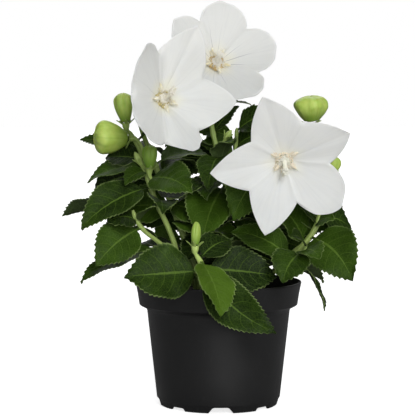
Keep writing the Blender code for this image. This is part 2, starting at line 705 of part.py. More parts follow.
def stamens_piece(name, bloom):
    """The style on its ovary dome, with five stamens that spread from it, as one body."""
    base, axis, side, up = flower_frame(bloom)
    profile = [(0, GAP), (0.0022, 0.0024), (0.0021, 0.0044), (0.0011, 0.0058), (0.0011, 0.0105),
               (0.0019, 0.0128), (0, 0.0145)]
    piece = add_object("stamens_" + name, flower_lathe(bloom, profile, 6))
    arms = []
    for turn in bloom.stamens:
        angle = math.radians(turn)
        spoke = up * math.cos(angle) + side * math.sin(angle)
        path = [base + spoke * 0.0010 + axis * 0.0036, base + spoke * 0.0094 + axis * 0.0086]
        arms.append(add_object("stamen", tube(path, [0.0009, 0.0012], 3)))
    return finished(combine(piece, arms, "UNION"), "stamens")


def bud_radius(bud, along):
    """A bud's radius at a share of its length: its neck, its swelling and its domed top."""
    if along in (0, 1):
        return 0.0
    if along < bud.widest:
        share = along / bud.widest
        return bud.neck + (bud.radius - bud.neck) * share ** 1.3 * (2.3 - 1.3 * share)
    share = (along - bud.widest) / (1 - bud.widest)
    return bud.radius * (1 - share ** 2.2) ** 0.5


def bud_solid(bud):
    """A closed balloon bud with five ribs, narrow at its base and blunt at its top."""
    base, axis, side, up = flower_frame(bud)

    def place(across, along):
        angle = math.tau * across
        rib = 1 + 0.07 * along * math.cos(LOBES * angle)
        spoke = side * math.cos(angle) + up * math.sin(angle)
        return base + axis * (bud.length * along) + spoke * (bud_radius(bud, along) * rib)

    return closed(shaped_grid(2 * LOBES, 7, place))


def pot_angles():
    """The turns of the pot's edges, closer together where its skirt is cut."""
    return [math.radians(POT_FRONT + 90 * quarter + cut)
            for quarter in range(4) for cut in POT_CUTS]


def skirt_height(index):
    """How far above the ground the skirt ends at one of the pot's edges."""
    cut = POT_CUTS[index % len(POT_CUTS)]
    if abs(cut) < 10:
        return POT_NOTCH_HEIGHT
    if 36 < cut < 54:
        return POT_STEP_HEIGHT
    return 0.0


def pot_profile():
    """The pot's radii and heights, from under its middle round the rim to its floor."""
    wall = POT_WALL
    under = POT_FLOOR_HEIGHT - wall
    return [
        (0, 0), (POT_BOSS_RADIUS, 0), (POT_BOSS_RADIUS, under),
        (POT_SKIRT_RADIUS - wall, under), (POT_SKIRT_RADIUS - wall, "skirt"),
        (POT_SKIRT_RADIUS, "skirt"), (POT_FOOT_RADIUS, POT_FOOT_HEIGHT),
        (POT_SHOULDER_RADIUS, POT_SHOULDER_HEIGHT), (POT_BAND_RADIUS, POT_BAND_BOTTOM),
        (POT_RIM_RADIUS, POT_HEIGHT), (POT_RIM_RADIUS - wall, POT_HEIGHT),
        (POT_BAND_RADIUS - wall, POT_BAND_BOTTOM + wall),
        (POT_SHOULDER_RADIUS - wall, POT_SHOULDER_HEIGHT + wall * 0.6),
        (POT_FOOT_RADIUS - wall, POT_FLOOR_HEIGHT), (0, POT_FLOOR_HEIGHT)]


def pot_piece():
    """The nursery pot: band, tapered wall, cut skirt, raised floor and drain holes."""
    angles = pot_angles()
    profile = pot_profile()
    rows = len(profile) - 1

    def place(across, along):
        index = round(across * len(angles)) % len(angles)
        radius, height = profile[round(along * rows)]
        if height == "skirt":
            height = skirt_height(index)
        return Vector((radius * math.cos(angles[index]), radius * math.sin(angles[index]), height))

    pot = add_object("pot", closed(shaped_grid(len(angles), rows, place)))
    drains = []
    for index in range(DRAIN_COUNT):
        angle = math.tau * (index + 0.5) / DRAIN_COUNT
        centre = Vector((math.cos(angle), math.sin(angle), 0)) * DRAIN_CIRCLE_RADIUS
        low = centre + Vector((0, 0, POT_FLOOR_HEIGHT - 2 * POT_WALL))
        high = centre + Vector((0, 0, POT_FLOOR_HEIGHT + POT_WALL))
        drains.append(add_object("drain", tube([low, high], [DRAIN_RADIUS] * 2, 6)))
    return finished(combine(pot, drains, "DIFFERENCE"), "pot")


def soil_solid():
    """The compost that fills the pot, with a gently uneven top."""
    clearance = 0.0005
    wall = POT_WALL + clearance
    top_share = (SOIL_HEIGHT - POT_BAND_BOTTOM) / (POT_HEIGHT - POT_BAND_BOTTOM)
    top_radius = POT_BAND_RADIUS + (POT_RIM_RADIUS - POT_BAND_RADIUS) * top_share - wall
    profile = [
        (0, POT_FLOOR_HEIGHT + GAP), (POT_FOOT_RADIUS - wall - 0.0002, POT_FLOOR_HEIGHT + GAP),
        (POT_SHOULDER_RADIUS - wall - 0.0006, POT_SHOULDER_HEIGHT),
        (POT_BAND_RADIUS - wall - 0.0006, POT_BAND_BOTTOM + 2 * wall),
        (top_radius, SOIL_HEIGHT), (0.026, SOIL_HEIGHT), (0, SOIL_HEIGHT)]
    rows = len(profile) - 1

    def place(across, along):
        row = round(along * rows)
        radius, height = profile[row]
        angle = math.tau * across
        if row == 5:
            height += 0.0008 * math.sin(3 * angle)
        return Vector((radius * math.cos(angle), radius * math.sin(angle), height))

    return closed(shaped_grid(24, rows, place))


def soil_piece():
    """The soil, with a plain hole for each stem."""
    soil = add_object("soil", soil_solid())
    holes = []
    for name, stem in STEMS.items():
        radius = (stem.radius[0] + GAP) / math.cos(math.pi / HOLE_SIDES)
        low = Vector((*stem.root, SOIL_HEIGHT - ROOT_DEPTH - GAP))
        high = Vector((*stem.root, SOIL_HEIGHT + 0.003))
        holes.append(add_object("hole_" + name, tube([low, high], [radius] * 2, HOLE_SIDES)))
    return finished(combine(soil, holes, "DIFFERENCE"), "soil")


def mesh_of(piece):
    """A piece's mesh as a bmesh of its own."""
    mesh = bmesh.new()
    mesh.from_mesh(piece.data)
    return mesh


def stem_bars(stem):
    """The main bar of a stem, then its branches and sprouts, as closed bodies."""
    path, radii = stem_tube_path(stem)
    bars = [tube(path, radii)]
    for branch in stem.branches:
        bars.append(tube(*branch_path(point_at_height(path, branch.height), branch)))
    for sprout in stem.sprouts:
        start = point_at_height(path, sprout.height)
        tip = Vector(sprout.tip)
        points = [start, start.lerp(tip, 0.55), start.lerp(tip, 0.75), tip]
        bars.append(tube(points, [0.0009, 0.0009, sprout.radius, 0.0006]))
    return path, bars


def carried_flowers(stem):
    """The blooms and buds at the ends of a stem and its branches."""
    names = [stem.ends_in] if stem.ends_in else []
    return names + [branch.bud for branch in stem.branches]


def grow_plant(thicket):
    """Place every leaf clear of the rest, and give each stem its bars, sepals and leaves."""
    paths = {}
    solids = {}
    for name, stem in STEMS.items():
        paths[name], solids[name] = stem_bars(stem)
        for flower in carried_flowers(stem):
            solids[name] += [sepal_solid(*sepal) for sepal in sepal_leaves(flower)]
        for solid in solids[name]:
            thicket.add(name, solid)
    chosen = [(name, leaf) for name, stem in STEMS.items() for leaf in stem.leaves]
    chosen.sort(key=lambda item: -item[1].length * item[1].width)
    grown = [(name, leaf) for name, stem in STEMS.items() for leaf in tuft_leaves(name, stem)]
    for name, leaf in chosen + grown:
        placed = bend_clear(thicket, name, paths[name], leaf)
        if placed:
            root, bent = placed
            large = (name, leaf) in chosen and leaf.length > LARGE_LEAF_LENGTH
            rows = LARGE_LEAF_ROWS if large else LEAF_ROWS
            solids[name].append(leaf_solid(root, bent, rows))
            thicket.add(name, solids[name][-1])
    return solids


def stem_piece(name, solids):
    """One stem with everything green that grows on it, fused into one body."""
    pieces = [add_object(name if index == 0 else name + "_part", solid)
              for index, solid in enumerate(solids)]
    return finished(combine(pieces[0], pieces[1:], "UNION"), "stem")


def build():
    """Make the whole potted plant."""
    clear_scene()
    thicket = Thicket()
    thicket.add("pot", mesh_of(pot_piece()))
    thicket.add("soil", mesh_of(soil_piece()))
    for name, bloom in BLOOMS.items():
        corolla = finished(add_object("corolla_" + name, corolla_solid(bloom)), "corolla")
        thicket.add(corolla.name, mesh_of(corolla))
        thicket.add("stamens_" + name, mesh_of(stamens_piece(name, bloom)))
    for name, bud in BUDS.items():
        balloon = finished(add_object(name, bud_solid(bud)), "bud")
        thicket.add(name, mesh_of(balloon))
    for name, solids in grow_plant(thicket).items():
        stem_piece(name, solids)


build()
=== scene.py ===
"""The dressed look of the potted balloon flower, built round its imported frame.

Metres, +Z up, the front towards -Y. Each CAD node is stood for by a finer piece in the same place:
leaves with teeth and veins, ribbed buds, veined petals, feathery stamens, a moulded pot and soil.
How far a leaf was bent clear of its neighbours is read from its stem's solid in the frame.
"""
import math
import random
from collections import namedtuple

import bmesh
import bpy
from mathutils import Matrix, Quaternion, Vector, noise
from mathutils.bvhtree import BVHTree


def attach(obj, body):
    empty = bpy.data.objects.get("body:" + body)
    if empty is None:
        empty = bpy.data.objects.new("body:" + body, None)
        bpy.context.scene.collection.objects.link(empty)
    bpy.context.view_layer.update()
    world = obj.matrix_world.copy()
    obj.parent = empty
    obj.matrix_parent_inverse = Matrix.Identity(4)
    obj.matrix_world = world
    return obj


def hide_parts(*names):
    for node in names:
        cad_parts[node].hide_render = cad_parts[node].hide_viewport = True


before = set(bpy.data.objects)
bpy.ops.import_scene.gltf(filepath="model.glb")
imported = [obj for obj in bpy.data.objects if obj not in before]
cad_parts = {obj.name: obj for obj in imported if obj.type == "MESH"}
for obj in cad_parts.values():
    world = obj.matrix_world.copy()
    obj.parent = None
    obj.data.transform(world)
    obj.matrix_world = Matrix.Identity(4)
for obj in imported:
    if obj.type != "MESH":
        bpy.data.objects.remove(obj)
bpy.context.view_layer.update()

# Sizes shared with the solids
MERGE_DISTANCE = 0.00001
POT_RIM_RADIUS = 0.0515
POT_BAND_RADIUS = 0.0492
POT_SHOULDER_RADIUS = 0.0445
POT_FOOT_RADIUS = 0.0384
POT_SKIRT_RADIUS = 0.0367
POT_HEIGHT = 0.0765
POT_BAND_BOTTOM = 0.0625
POT_SHOULDER_HEIGHT = 0.0600
POT_FOOT_HEIGHT = 0.0048
POT_WALL = 0.0013
POT_FLOOR_HEIGHT = 0.0055
POT_BOSS_RADIUS = 0.0080
POT_NOTCH_HEIGHT = 0.0034
POT_STEP_HEIGHT = 0.0018
POT_FRONT = -88.0
SOIL_HEIGHT = 0.0680
ROOT_DEPTH = 0.0120
COLLAR_HEIGHT = 0.0015
PETIOLE_HALF_WIDTH = 0.0009
PETIOLE_SHARE = 0.12
LEAF_FOLD = 17.0
STEM_STEP = 0.015
STEM_FINE_STEP = 0.0022
BRANCH_FINE_STEP = 0.0018
BRANCH_RADIUS = 0.0011
SEPAL_LENGTH = 0.0085
BUD_SEPAL_LENGTH = 0.0062
BLOOM_CALYX_RADIUS = 0.0040
BLOOM_CALYX_LENGTH = 0.0078
BLOOM_SEAT_DEPTH = 0.0014
BUD_CALYX_RADIUS = 0.0024
BUD_CALYX_LENGTH = 0.0042
BUD_SEAT_DEPTH = 0.0003
LOBES = 5

# Finer sizes
BLADE_THICKNESS = 0.0004
BLADE_LIFT = 0.0006
BLADE_COLUMNS = 12
TOOTH_SPACING = 0.0025
TOOTH_DEPTH = 0.0007
PETAL_THICKNESS = 0.0005
PETAL_SMOOTHING = 60
PETAL_CREASE = 0.0001
PETAL_WAVE = 0.0016
PETAL_PUCKER = 0.0004
THROAT_RADIUS = 0.007
PETAL_COLUMNS = 30 * LOBES
PETAL_ROWS = 30

# The dome's radii and heights, the style's radii at shares of its length, and the reach, height
# and radius along a stamen
DOME_PROFILE = [(0, 0.0004), (0.0025, 0.0014), (0.0040, 0.0022), (0.0044, 0.0033),
                (0.0037, 0.0045), (0.0022, 0.0053), (0, 0.0056)]
DOME_RIB = 0.12
DOME_SCALES = 30
DOME_HAIRS = 70
STYLE_FOOT = 0.0044
STYLE_LENGTH = 0.0088
STYLE_FORM = [(0.0, 0.0019), (0.18, 0.0015), (0.36, 0.0012), (0.54, 0.0012), (0.70, 0.0015),
              (0.84, 0.0019), (0.94, 0.0016), (1.0, 0.0007)]
ARM_FORM = [(0.0034, 0.0036, 0.0006), (0.0048, 0.0044, 0.0010), (0.0062, 0.0050, 0.0011),
            (0.0076, 0.0056, 0.0008), (0.0090, 0.0060, 0.0003)]
ARM_HAIRS = 48
THREAD_TURNS = (-13, -7, 8, 14)
HAIR_RADII = [0.00024, 0.00018, 0.00006]
CRUMBS = 420

# A leaf whose twelve test points lie further than this, in all, from its stem's solid isn't in it
LARGEST_MISFIT = 0.0040

# The decimals that a placed leaf's values keep, in their order, for sizes in whole millimetres
# and angles in whole degrees
LEAF_DIGITS = (4, 0, 3, 3, 3, 3, 0)

# A leaf starts at a height on its stem and points where turn says. Its tip lies rise above its
# root, its middle stands arch above the straight line between them, and roll leans its upper
# face to the right of the way it points.
Leaf = namedtuple("Leaf", "height turn length rise width arch roll")

# A tuft is a run of leaves that a stem grows by rule, from one height to another.
Tuft = namedtuple("Tuft", "low high count first_turn sweep length width rise")

# A sprout is a small green side bud that is one piece with its stem.
Sprout = namedtuple("Sprout", "height tip radius")

# A bud or bloom sits at its base and looks along its azimuth and elevation. A branch leaves its
# stem at a height for a bud of its own.
Bud = namedtuple("Bud", "base azimuth elevation length radius neck widest hug")
Bloom = namedtuple("Bloom", "base azimuth elevation spin bowl tips notches stamens")
Branch = namedtuple("Branch", "height route bud")
Stem = namedtuple("Stem", "root route radius leaves ends_in branches sprouts tufts",
                  defaults=(None, (), (), ()))

# Each tip of a bloom's lobes is its turn away from an even spacing, its reach from the axis, its
# lift along the axis and how round it is, from 0, pointed, to 1. A notch has no roundness. The
# stamens stand at these turns from the upper side, clockwise as seen from the front.
BLOOMS = {
    "right": Bloom(
        base=(0.038, -0.045, 0.153), azimuth=-86, elevation=-14, spin=-18, bowl=0.0015,
        tips=[(-2, 0.0445, 0.020, 0.0), (6, 0.0413, 0.020, 0.0), (0, 0.0405, 0.019, 0.8),
              (-2, 0.0424, 0.020, 0.0), (-4, 0.0446, 0.020, 0.0)],
        notches=[(1, 0.0269, 0.010), (-1, 0.0268, 0.010), (0, 0.0249, 0.010),
                 (-1, 0.0262, 0.011), (-2, 0.0248, 0.011)],
        stamens=(58, 128, 178, 224, 294)),
    "left": Bloom(
        base=(-0.035, -0.030, 0.1885), azimuth=-54, elevation=10, spin=-46, bowl=0.0010,
        tips=[(5, 0.0358, 0.026, 0.5), (-4, 0.0433, 0.025, 0.1), (-1, 0.0400, 0.024, 0.1),
              (5, 0.0345, 0.024, 0.9), (-18, 0.0380, 0.024, 0.7)],
        notches=[(-3, 0.0274, 0.010), (4, 0.0275, 0.011), (5, 0.0277, 0.011),
                 (-10, 0.0291, 0.011), (-5, 0.0283, 0.011)],
        stamens=(50, 118, 178, 262, 336)),
    "top": Bloom(
        base=(-0.002, 0.014, 0.2105), azimuth=-74, elevation=26, spin=13, bowl=0.0020,
        tips=[(-2, 0.0358, 0.019, 1.0), (-2, 0.0355, 0.018, 0.9), (-8, 0.0349, 0.020, 0.9),
              (-6, 0.0340, 0.010, 1.0), (7, 0.0355, 0.019, 0.6)],
        notches=[(-3, 0.0268, 0.014), (-3, 0.0257, 0.014), (-8, 0.0268, 0.010),
                 (0, 0.0255, 0.010), (-1, 0.0258, 0.014)],
        stamens=(36, 122, 178, 258, 340)),
}

# A bud's neck is its radius just above its base, widest is the share of its length at which its
# radius is full, and hug is how steeply its sepals rise beside it.
BUDS = {
    "bud_left_balloon": Bud(
        (-0.055, -0.014, 0.165), -172, 2, 0.0215, 0.0104, 0.0036, 0.68, 0.70),
    "bud_left_upper": Bud(
        (-0.057, -0.006, 0.1745), 150, 82, 0.0185, 0.0059, 0.0027, 0.72, 1.00),
    "bud_left_small": Bud(
        (-0.042, -0.020, 0.147), -60, 86, 0.0145, 0.0047, 0.0021, 0.60, 1.15),
    "bud_right": Bud(
        (0.058, 0.005, 0.175), 200, 86, 0.0165, 0.0108, 0.0042, 0.62, 0.55),
    "bud_right_low": Bud(
        (0.070, 0.002, 0.143), 40, 70, 0.0110, 0.0044, 0.0020, 0.60, 1.05),
    "bud_front": Bud(
        (-0.014, -0.053, 0.103), 60, 84, 0.0140, 0.0029, 0.0019, 0.46, 1.20),
}

# The materials of a stem's piece and of a stamens piece, in their order
UPPER, UNDER, GREEN = range(3)
CREAM, TAN, PALE, OLIVE = range(4)

# A bloom's centre: droop raises or lowers its style's tip, lift shifts its stamens towards its
# upper side, slope is how steeply they rise, ring is the material of the scales round its dome,
# fluff counts the hairs at the style's tip, and knobs and lines are the turns of its pollen knobs
# and of the olive lines on the dome.
Centre = namedtuple("Centre", "droop lift slope ring fluff knobs lines")
CENTRES = {
    "right": Centre(-0.0042, 0.0014, 0.85, CREAM, 12, (), (330, 10, 90, 262)),
    "left": Centre(0.0026, 0.0, 1.0, TAN, 60, (160, 190, 225, 255, 285), (200, 240, 285, 320)),
    "top": Centre(0.0006, 0.0004, 1.0, TAN, 48, (120, 165, 180, 195, 240), (92, 128, 232, 268)),
}

# The tones, from darker to lighter, of stems, buds and single leaves that the photo sets apart
STEM_TONES = {"stem_front": 1.1, "stem_left": 0.4, "stem_left_low": 0.5, "stem_right": 0.6}
BUD_TONES = {
    "bud_left_balloon": 0.60, "bud_left_upper": -0.20, "bud_left_small": -0.75, "bud_right": 0.1,
    "bud_right_low": -0.2, "bud_front": -0.45,
}
LEAF_TONES = {("stem_front", 0): 0.0, ("stem_front", 1): -0.1, ("stem_front", 2): -0.9,
              ("stem_front", 3): 1.7}

# Each stem stands in the soil at its root and follows its route. It ends in a bloom, a bud or a
# leafy tip.
STEMS = {
    "stem_left": Stem(
        root=(-0.020, -0.008),
        route=[(-0.027, -0.010, 0.100), (-0.036, -0.014, 0.122), (-0.041, -0.016, 0.134),
               (-0.046, -0.014, 0.151), (-0.049, -0.011, 0.160), (-0.054, -0.008, 0.168)],
        radius=(0.0019, 0.0013), ends_in="bud_left_upper",
        branches=[
            Branch(0.153, [(-0.047, -0.015, 0.160)], "bud_left_balloon"),
            Branch(0.130, [(-0.0405, -0.019, 0.139)], "bud_left_small")],
        sprouts=[Sprout(0.140, (-0.051, -0.019, 0.157), 0.0022)],
        leaves=[
            Leaf(0.135, -151, 0.052, -0.023, 0.028, 0.004, -40),
            Leaf(0.140, -51, 0.043, -0.006, 0.026, 0.004, 42),
            Leaf(0.144, -146, 0.020, 0.002, 0.013, 0.003, -30),
            Leaf(0.152, 152, 0.025, -0.001, 0.020, 0.003, -45),
            Leaf(0.162, -56, 0.016, 0.012, 0.009, 0.001, 10),
            Leaf(0.134, -11, 0.032, 0.003, 0.025, -0.002, 35),
            Leaf(0.139, 149, 0.048, -0.017, 0.030, 0.009, -48),
            Leaf(0.146, 170, 0.038, -0.008, 0.020, 0.004, -30)],
        tufts=[Tuft(0.085, 0.122, 3, 70, 100, 0.046, 0.030, 0.002)]),
    "stem_bloom_left": Stem(
        root=(-0.010, 0.000),
        route=[(-0.020, 0.000, 0.100), (-0.032, 0.004, 0.130), (-0.042, 0.006, 0.155),
               (-0.048, 0.002, 0.172), (-0.047, -0.010, 0.184)],
        radius=(0.0019, 0.0014), ends_in="left",
        leaves=[
            Leaf(0.146, 180, 0.044, -0.020, 0.030, 0.007, -35),
            Leaf(0.154, 163, 0.049, 0.010, 0.016, 0.002, -45),
            Leaf(0.148, 20, 0.038, 0.004, 0.024, 0.005, 20),
            Leaf(0.113, -80, 0.034, -0.010, 0.026, 0.004, 10),
            Leaf(0.124, -50, 0.040, -0.004, 0.028, 0.004, 30),
            Leaf(0.120, 172, 0.034, 0.000, 0.028, 0.003, -65)],
        tufts=[Tuft(0.082, 0.142, 6, 80, 137, 0.048, 0.031, 0.002)]),
    "stem_bloom_top": Stem(
        root=(-0.002, 0.006),
        route=[(0.003, 0.008, 0.105), (0.005, 0.007, 0.132), (0.000, 0.006, 0.154),
               (-0.004, 0.009, 0.172), (-0.005, 0.020, 0.192), (-0.005, 0.025, 0.203)],
        radius=(0.0020, 0.0014), ends_in="top",
        sprouts=[Sprout(0.157, (0.008, 0.000, 0.170), 0.0020)],
        leaves=[
            Leaf(0.135, -110, 0.051, -0.030, 0.036, 0.005, -8),
            Leaf(0.152, -101, 0.041, -0.018, 0.021, 0.006, 0),
            Leaf(0.156, -157, 0.036, 0.005, 0.022, 0.004, -10),
            Leaf(0.148, -79, 0.026, 0.015, 0.020, 0.003, 20),
            Leaf(0.168, -22, 0.024, 0.017, 0.013, 0.001, 60),
            Leaf(0.186, 12, 0.026, 0.000, 0.010, 0.001, 10),
            Leaf(0.088, 165, 0.022, -0.001, 0.018, 0.002, -60)],
        tufts=[Tuft(0.084, 0.150, 6, 60, 137, 0.048, 0.031, 0.000)]),
    "stem_bloom_right": Stem(
        root=(0.016, -0.006),
        route=[(0.024, -0.006, 0.102), (0.033, -0.008, 0.125), (0.037, -0.012, 0.145),
               (0.039, -0.020, 0.156), (0.039, -0.031, 0.157)],
        radius=(0.0019, 0.0014), ends_in="right",
        leaves=[
            Leaf(0.150, -147, 0.049, -0.034, 0.032, 0.006, -46),
            Leaf(0.112, -167, 0.026, 0.000, 0.018, 0.003, -5)],
        tufts=[Tuft(0.084, 0.142, 5, 40, 137, 0.048, 0.031, 0.000)]),
    "stem_right": Stem(
        root=(0.026, 0.006),
        route=[(0.040, 0.002, 0.088), (0.053, -0.006, 0.100), (0.061, -0.007, 0.113),
               (0.065, -0.002, 0.130), (0.063, 0.003, 0.152), (0.059, 0.005, 0.166)],
        radius=(0.0019, 0.0012), ends_in="bud_right",
        branches=[Branch(0.126, [(0.068, 0.001, 0.136)], "bud_right_low")],
        leaves=[
            Leaf(0.104, -48, 0.044, -0.024, 0.034, 0.006, 50),
            Leaf(0.100, -154, 0.034, 0.026, 0.034, 0.003, -60),
            Leaf(0.1155, 25, 0.024, -0.007, 0.023, 0.003, 55),
            Leaf(0.112, -54, 0.017, 0.004, 0.016, 0.002, 48),
            Leaf(0.096, -14, 0.026, -0.011, 0.016, 0.002, 20),
            Leaf(0.112, -124, 0.017, 0.011, 0.010, 0.001, -50)],
        tufts=[Tuft(0.092, 0.124, 3, 100, 60, 0.034, 0.021, 0.004)]),
    "stem_front": Stem(
        root=(-0.008, -0.024),
        route=[(-0.008, -0.034, 0.079), (-0.010, -0.045, 0.087), (-0.011, -0.051, 0.093),
               (-0.014, -0.053, 0.098)],
        radius=(0.0018, 0.0013), ends_in="bud_front",
        leaves=[
            Leaf(0.087, -165, 0.047, -0.002, 0.037, 0.000, -62),
            Leaf(0.0935, -64, 0.041, -0.029, 0.029, 0.002, -16),
            Leaf(0.088, -11, 0.046, -0.005, 0.031, 0.001, 64),
            Leaf(0.0915, -21, 0.060, -0.038, 0.028, -0.006, 68),
            Leaf(0.094, 44, 0.028, 0.008, 0.020, 0.003, 40)]),
    "stem_left_low": Stem(
        root=(-0.024, 0.008),
        route=[(-0.030, -0.004, 0.090), (-0.036, -0.016, 0.101), (-0.045, -0.022, 0.109),
               (-0.050, -0.024, 0.116), (-0.052, -0.024, 0.122)],
        radius=(0.0017, 0.0012),
        leaves=[
            Leaf(0.118, 151, 0.053, 0.000, 0.027, 0.003, 25),
            Leaf(0.115, -179, 0.021, -0.002, 0.022, 0.003, -40),
            Leaf(0.114, -54, 0.023, 0.011, 0.013, 0.002, 20),
            Leaf(0.111, -141, 0.040, -0.021, 0.028, 0.003, -52),
            Leaf(0.098, -158, 0.056, -0.018, 0.022, 0.003, -20)],
        tufts=[Tuft(0.082, 0.100, 2, 120, 60, 0.036, 0.022, 0.000)]),
    "stem_right_low": Stem(
        root=(0.022, -0.018),
        route=[(0.032, -0.026, 0.084), (0.043, -0.034, 0.091), (0.050, -0.038, 0.097),
               (0.052, -0.039, 0.102)],
        radius=(0.0017, 0.0012),
        leaves=[
            Leaf(0.097, -128, 0.026, -0.016, 0.025, 0.004, -24),
            Leaf(0.100, -126, 0.017, 0.003, 0.014, 0.001, -45),
            Leaf(0.096, -59, 0.020, -0.010, 0.019, 0.002, 20),
            Leaf(0.094, -41, 0.037, -0.030, 0.017, 0.002, -30),
            Leaf(0.092, 163, 0.042, 0.015, 0.025, 0.004, -40),
            Leaf(0.088, -162, 0.035, 0.003, 0.026, 0.004, -35)]),
    "stem_back_left": Stem(
        root=(-0.014, 0.020),
        route=[(-0.022, 0.026, 0.100), (-0.030, 0.030, 0.130), (-0.034, 0.030, 0.152)],
        radius=(0.0019, 0.0012),
        leaves=[
            Leaf(0.116, -170, 0.031, -0.004, 0.026, 0.003, -60),
            Leaf(0.126, -8, 0.035, -0.002, 0.028, 0.003, 60),
            Leaf(0.141, 180, 0.035, -0.004, 0.028, 0.003, -68),
            Leaf(0.149, -10, 0.034, 0.000, 0.026, 0.003, 68),
            Leaf(0.108, 4, 0.036, 0.000, 0.030, 0.003, 66),
            Leaf(0.102, -163, 0.021, -0.002, 0.026, 0.003, -66),
            Leaf(0.095, -6, 0.030, 0.000, 0.026, 0.003, 66)],
        tufts=[Tuft(0.082, 0.150, 7, 140, 137, 0.048, 0.031, 0.004)]),
    "stem_back_middle": Stem(
        root=(0.004, 0.024),
        route=[(0.006, 0.032, 0.105), (0.010, 0.034, 0.140), (0.012, 0.032, 0.171)],
        radius=(0.0019, 0.0012),
        leaves=[
            Leaf(0.168, -29, 0.028, 0.011, 0.020, 0.003, 62),
            Leaf(0.157, -41, 0.025, 0.010, 0.022, 0.004, 60),
            Leaf(0.161, -150, 0.029, 0.008, 0.020, 0.003, -55),
            Leaf(0.094, -172, 0.033, 0.000, 0.026, 0.003, -60),
            Leaf(0.110, 170, 0.042, 0.000, 0.028, 0.003, -66),
            Leaf(0.120, -6, 0.034, 0.000, 0.026, 0.003, 66),
            Leaf(0.106, -15, 0.031, 0.000, 0.029, 0.003, 66),
            Leaf(0.150, -147, 0.028, 0.002, 0.026, 0.003, -62)],
        tufts=[Tuft(0.084, 0.150, 7, 70, 137, 0.048, 0.031, 0.004)]),
    "stem_back_right": Stem(
        root=(0.022, 0.020),
        route=[(0.030, 0.028, 0.100), (0.036, 0.032, 0.125), (0.038, 0.032, 0.146)],
        radius=(0.0019, 0.0012),
        leaves=[
            Leaf(0.110, -21, 0.049, 0.002, 0.028, 0.003, 66),
            Leaf(0.124, -12, 0.042, -0.004, 0.028, 0.003, 68),
            Leaf(0.101, -25, 0.033, -0.004, 0.026, 0.003, 66)],
        tufts=[Tuft(0.082, 0.142, 7, 20, 137, 0.048, 0.031, 0.002)]),
}


# Nodes and materials

class Signal:
    """A shader node's output, with which sums are written as with a number."""

    def __init__(self, socket):
        self.socket = socket
        self.tree = socket.id_data

    def __add__(self, other):
        return calc("ADD", self, other)

    def __sub__(self, other):
        return calc("SUBTRACT", self, other)

    def __rsub__(self, other):
        return calc("SUBTRACT", other, self)

    def __mul__(self, other):
        return calc("MULTIPLY", self, other)

    def __truediv__(self, other):
        return calc("DIVIDE", self, other)

    def __pow__(self, other):
        return calc("POWER", self, other)

    def __abs__(self):
        return calc("ABSOLUTE", self)

    def step(self, low, high, out_low=0.0, out_high=1.0):
        """A smooth step between two values, as the signal goes from one level to another."""
        levels = {"Value": self, "From Min": low, "From Max": high, "To Min": out_low,
                  "To Max": out_high}
        return put(self.tree, "ShaderNodeMapRange", levels,
                   interpolation_type="SMOOTHSTEP")["Result"]


class Outputs:
    """A node's outputs as signals, by name or number."""

    def __init__(self, node):
        self.node = node

    def __getitem__(self, key):
        return Signal(self.node.outputs[key])


def put(tree, kind, inputs=(), **settings):
    """Add a shader node with its settings; each input gets a value or a signal."""
    made = tree.nodes.new(kind)
    for name, value in settings.items():
        setattr(made, name, value)
    for name, value in dict(inputs).items():
        if isinstance(value, Signal):
            tree.links.new(value.socket, made.inputs[name])
        else:
            made.inputs[name].default_value = value
    return Outputs(made)


def calc(operation, *values):
    """A Math node's result from numbers and at least one signal."""
    tree = next(value.tree for value in values if isinstance(value, Signal))
    return put(tree, "ShaderNodeMath", enumerate(values), operation=operation)[0]


def mixed(share, first, second):
    """Two colours mixed by a share, each a signal or its red, green and blue."""
    colours = [value if isinstance(value, Signal) else (*value, 1) for value in (first, second)]
    return put(share.tree, "ShaderNodeMix", {0: share, 6: colours[0], 7: colours[1]},
               data_type="RGBA")[2]


def spread(vector, scale, detail=3.0, roughness=0.55):
    """A noise value from 0 to 1."""
    return put(vector.tree, "ShaderNodeTexNoise", {
        "Vector": vector, "Scale": scale, "Detail": detail, "Roughness": roughness})["Fac"]


def ring_place(turn, along, radius, stretch):
    """A place on a ring, on which noise has no seam, from a share of the turn and one along it."""
    around = turn * math.tau
    return put(turn.tree, "ShaderNodeCombineXYZ", {
        0: calc("COSINE", around) * radius, 1: calc("SINE", around) * radius,
        2: along * stretch})[0]


def off_middle(value):
    """How far a value is from the middle of its unit step, from 0 to 1."""
    return abs(calc("FRACT", value) - 0.5) * 2.0


def new_group(name, **inputs):
    """An empty shader node group; an input is a vector, or a number where it has a value."""
    group = bpy.data.node_groups.new(name, "ShaderNodeTree")
    for socket, value in inputs.items():
        made = group.interface.new_socket(
            socket.replace("_", " "), in_out="INPUT",
            socket_type="NodeSocketVector" if value is None else "NodeSocketFloat")
        if value is not None:
            made.default_value = value
    return group, Outputs(group.nodes.new("NodeGroupInput"))


def finish_group(group, **results):
    """Give a node group its outputs, each a number that changes over the surface."""
    for name in results:
        group.interface.new_socket(name, in_out="OUTPUT", socket_type="NodeSocketFloat")
    out = group.nodes.new("NodeGroupOutput")
    for name, value in results.items():
        group.links.new(value.socket, out.inputs[name])
    return group


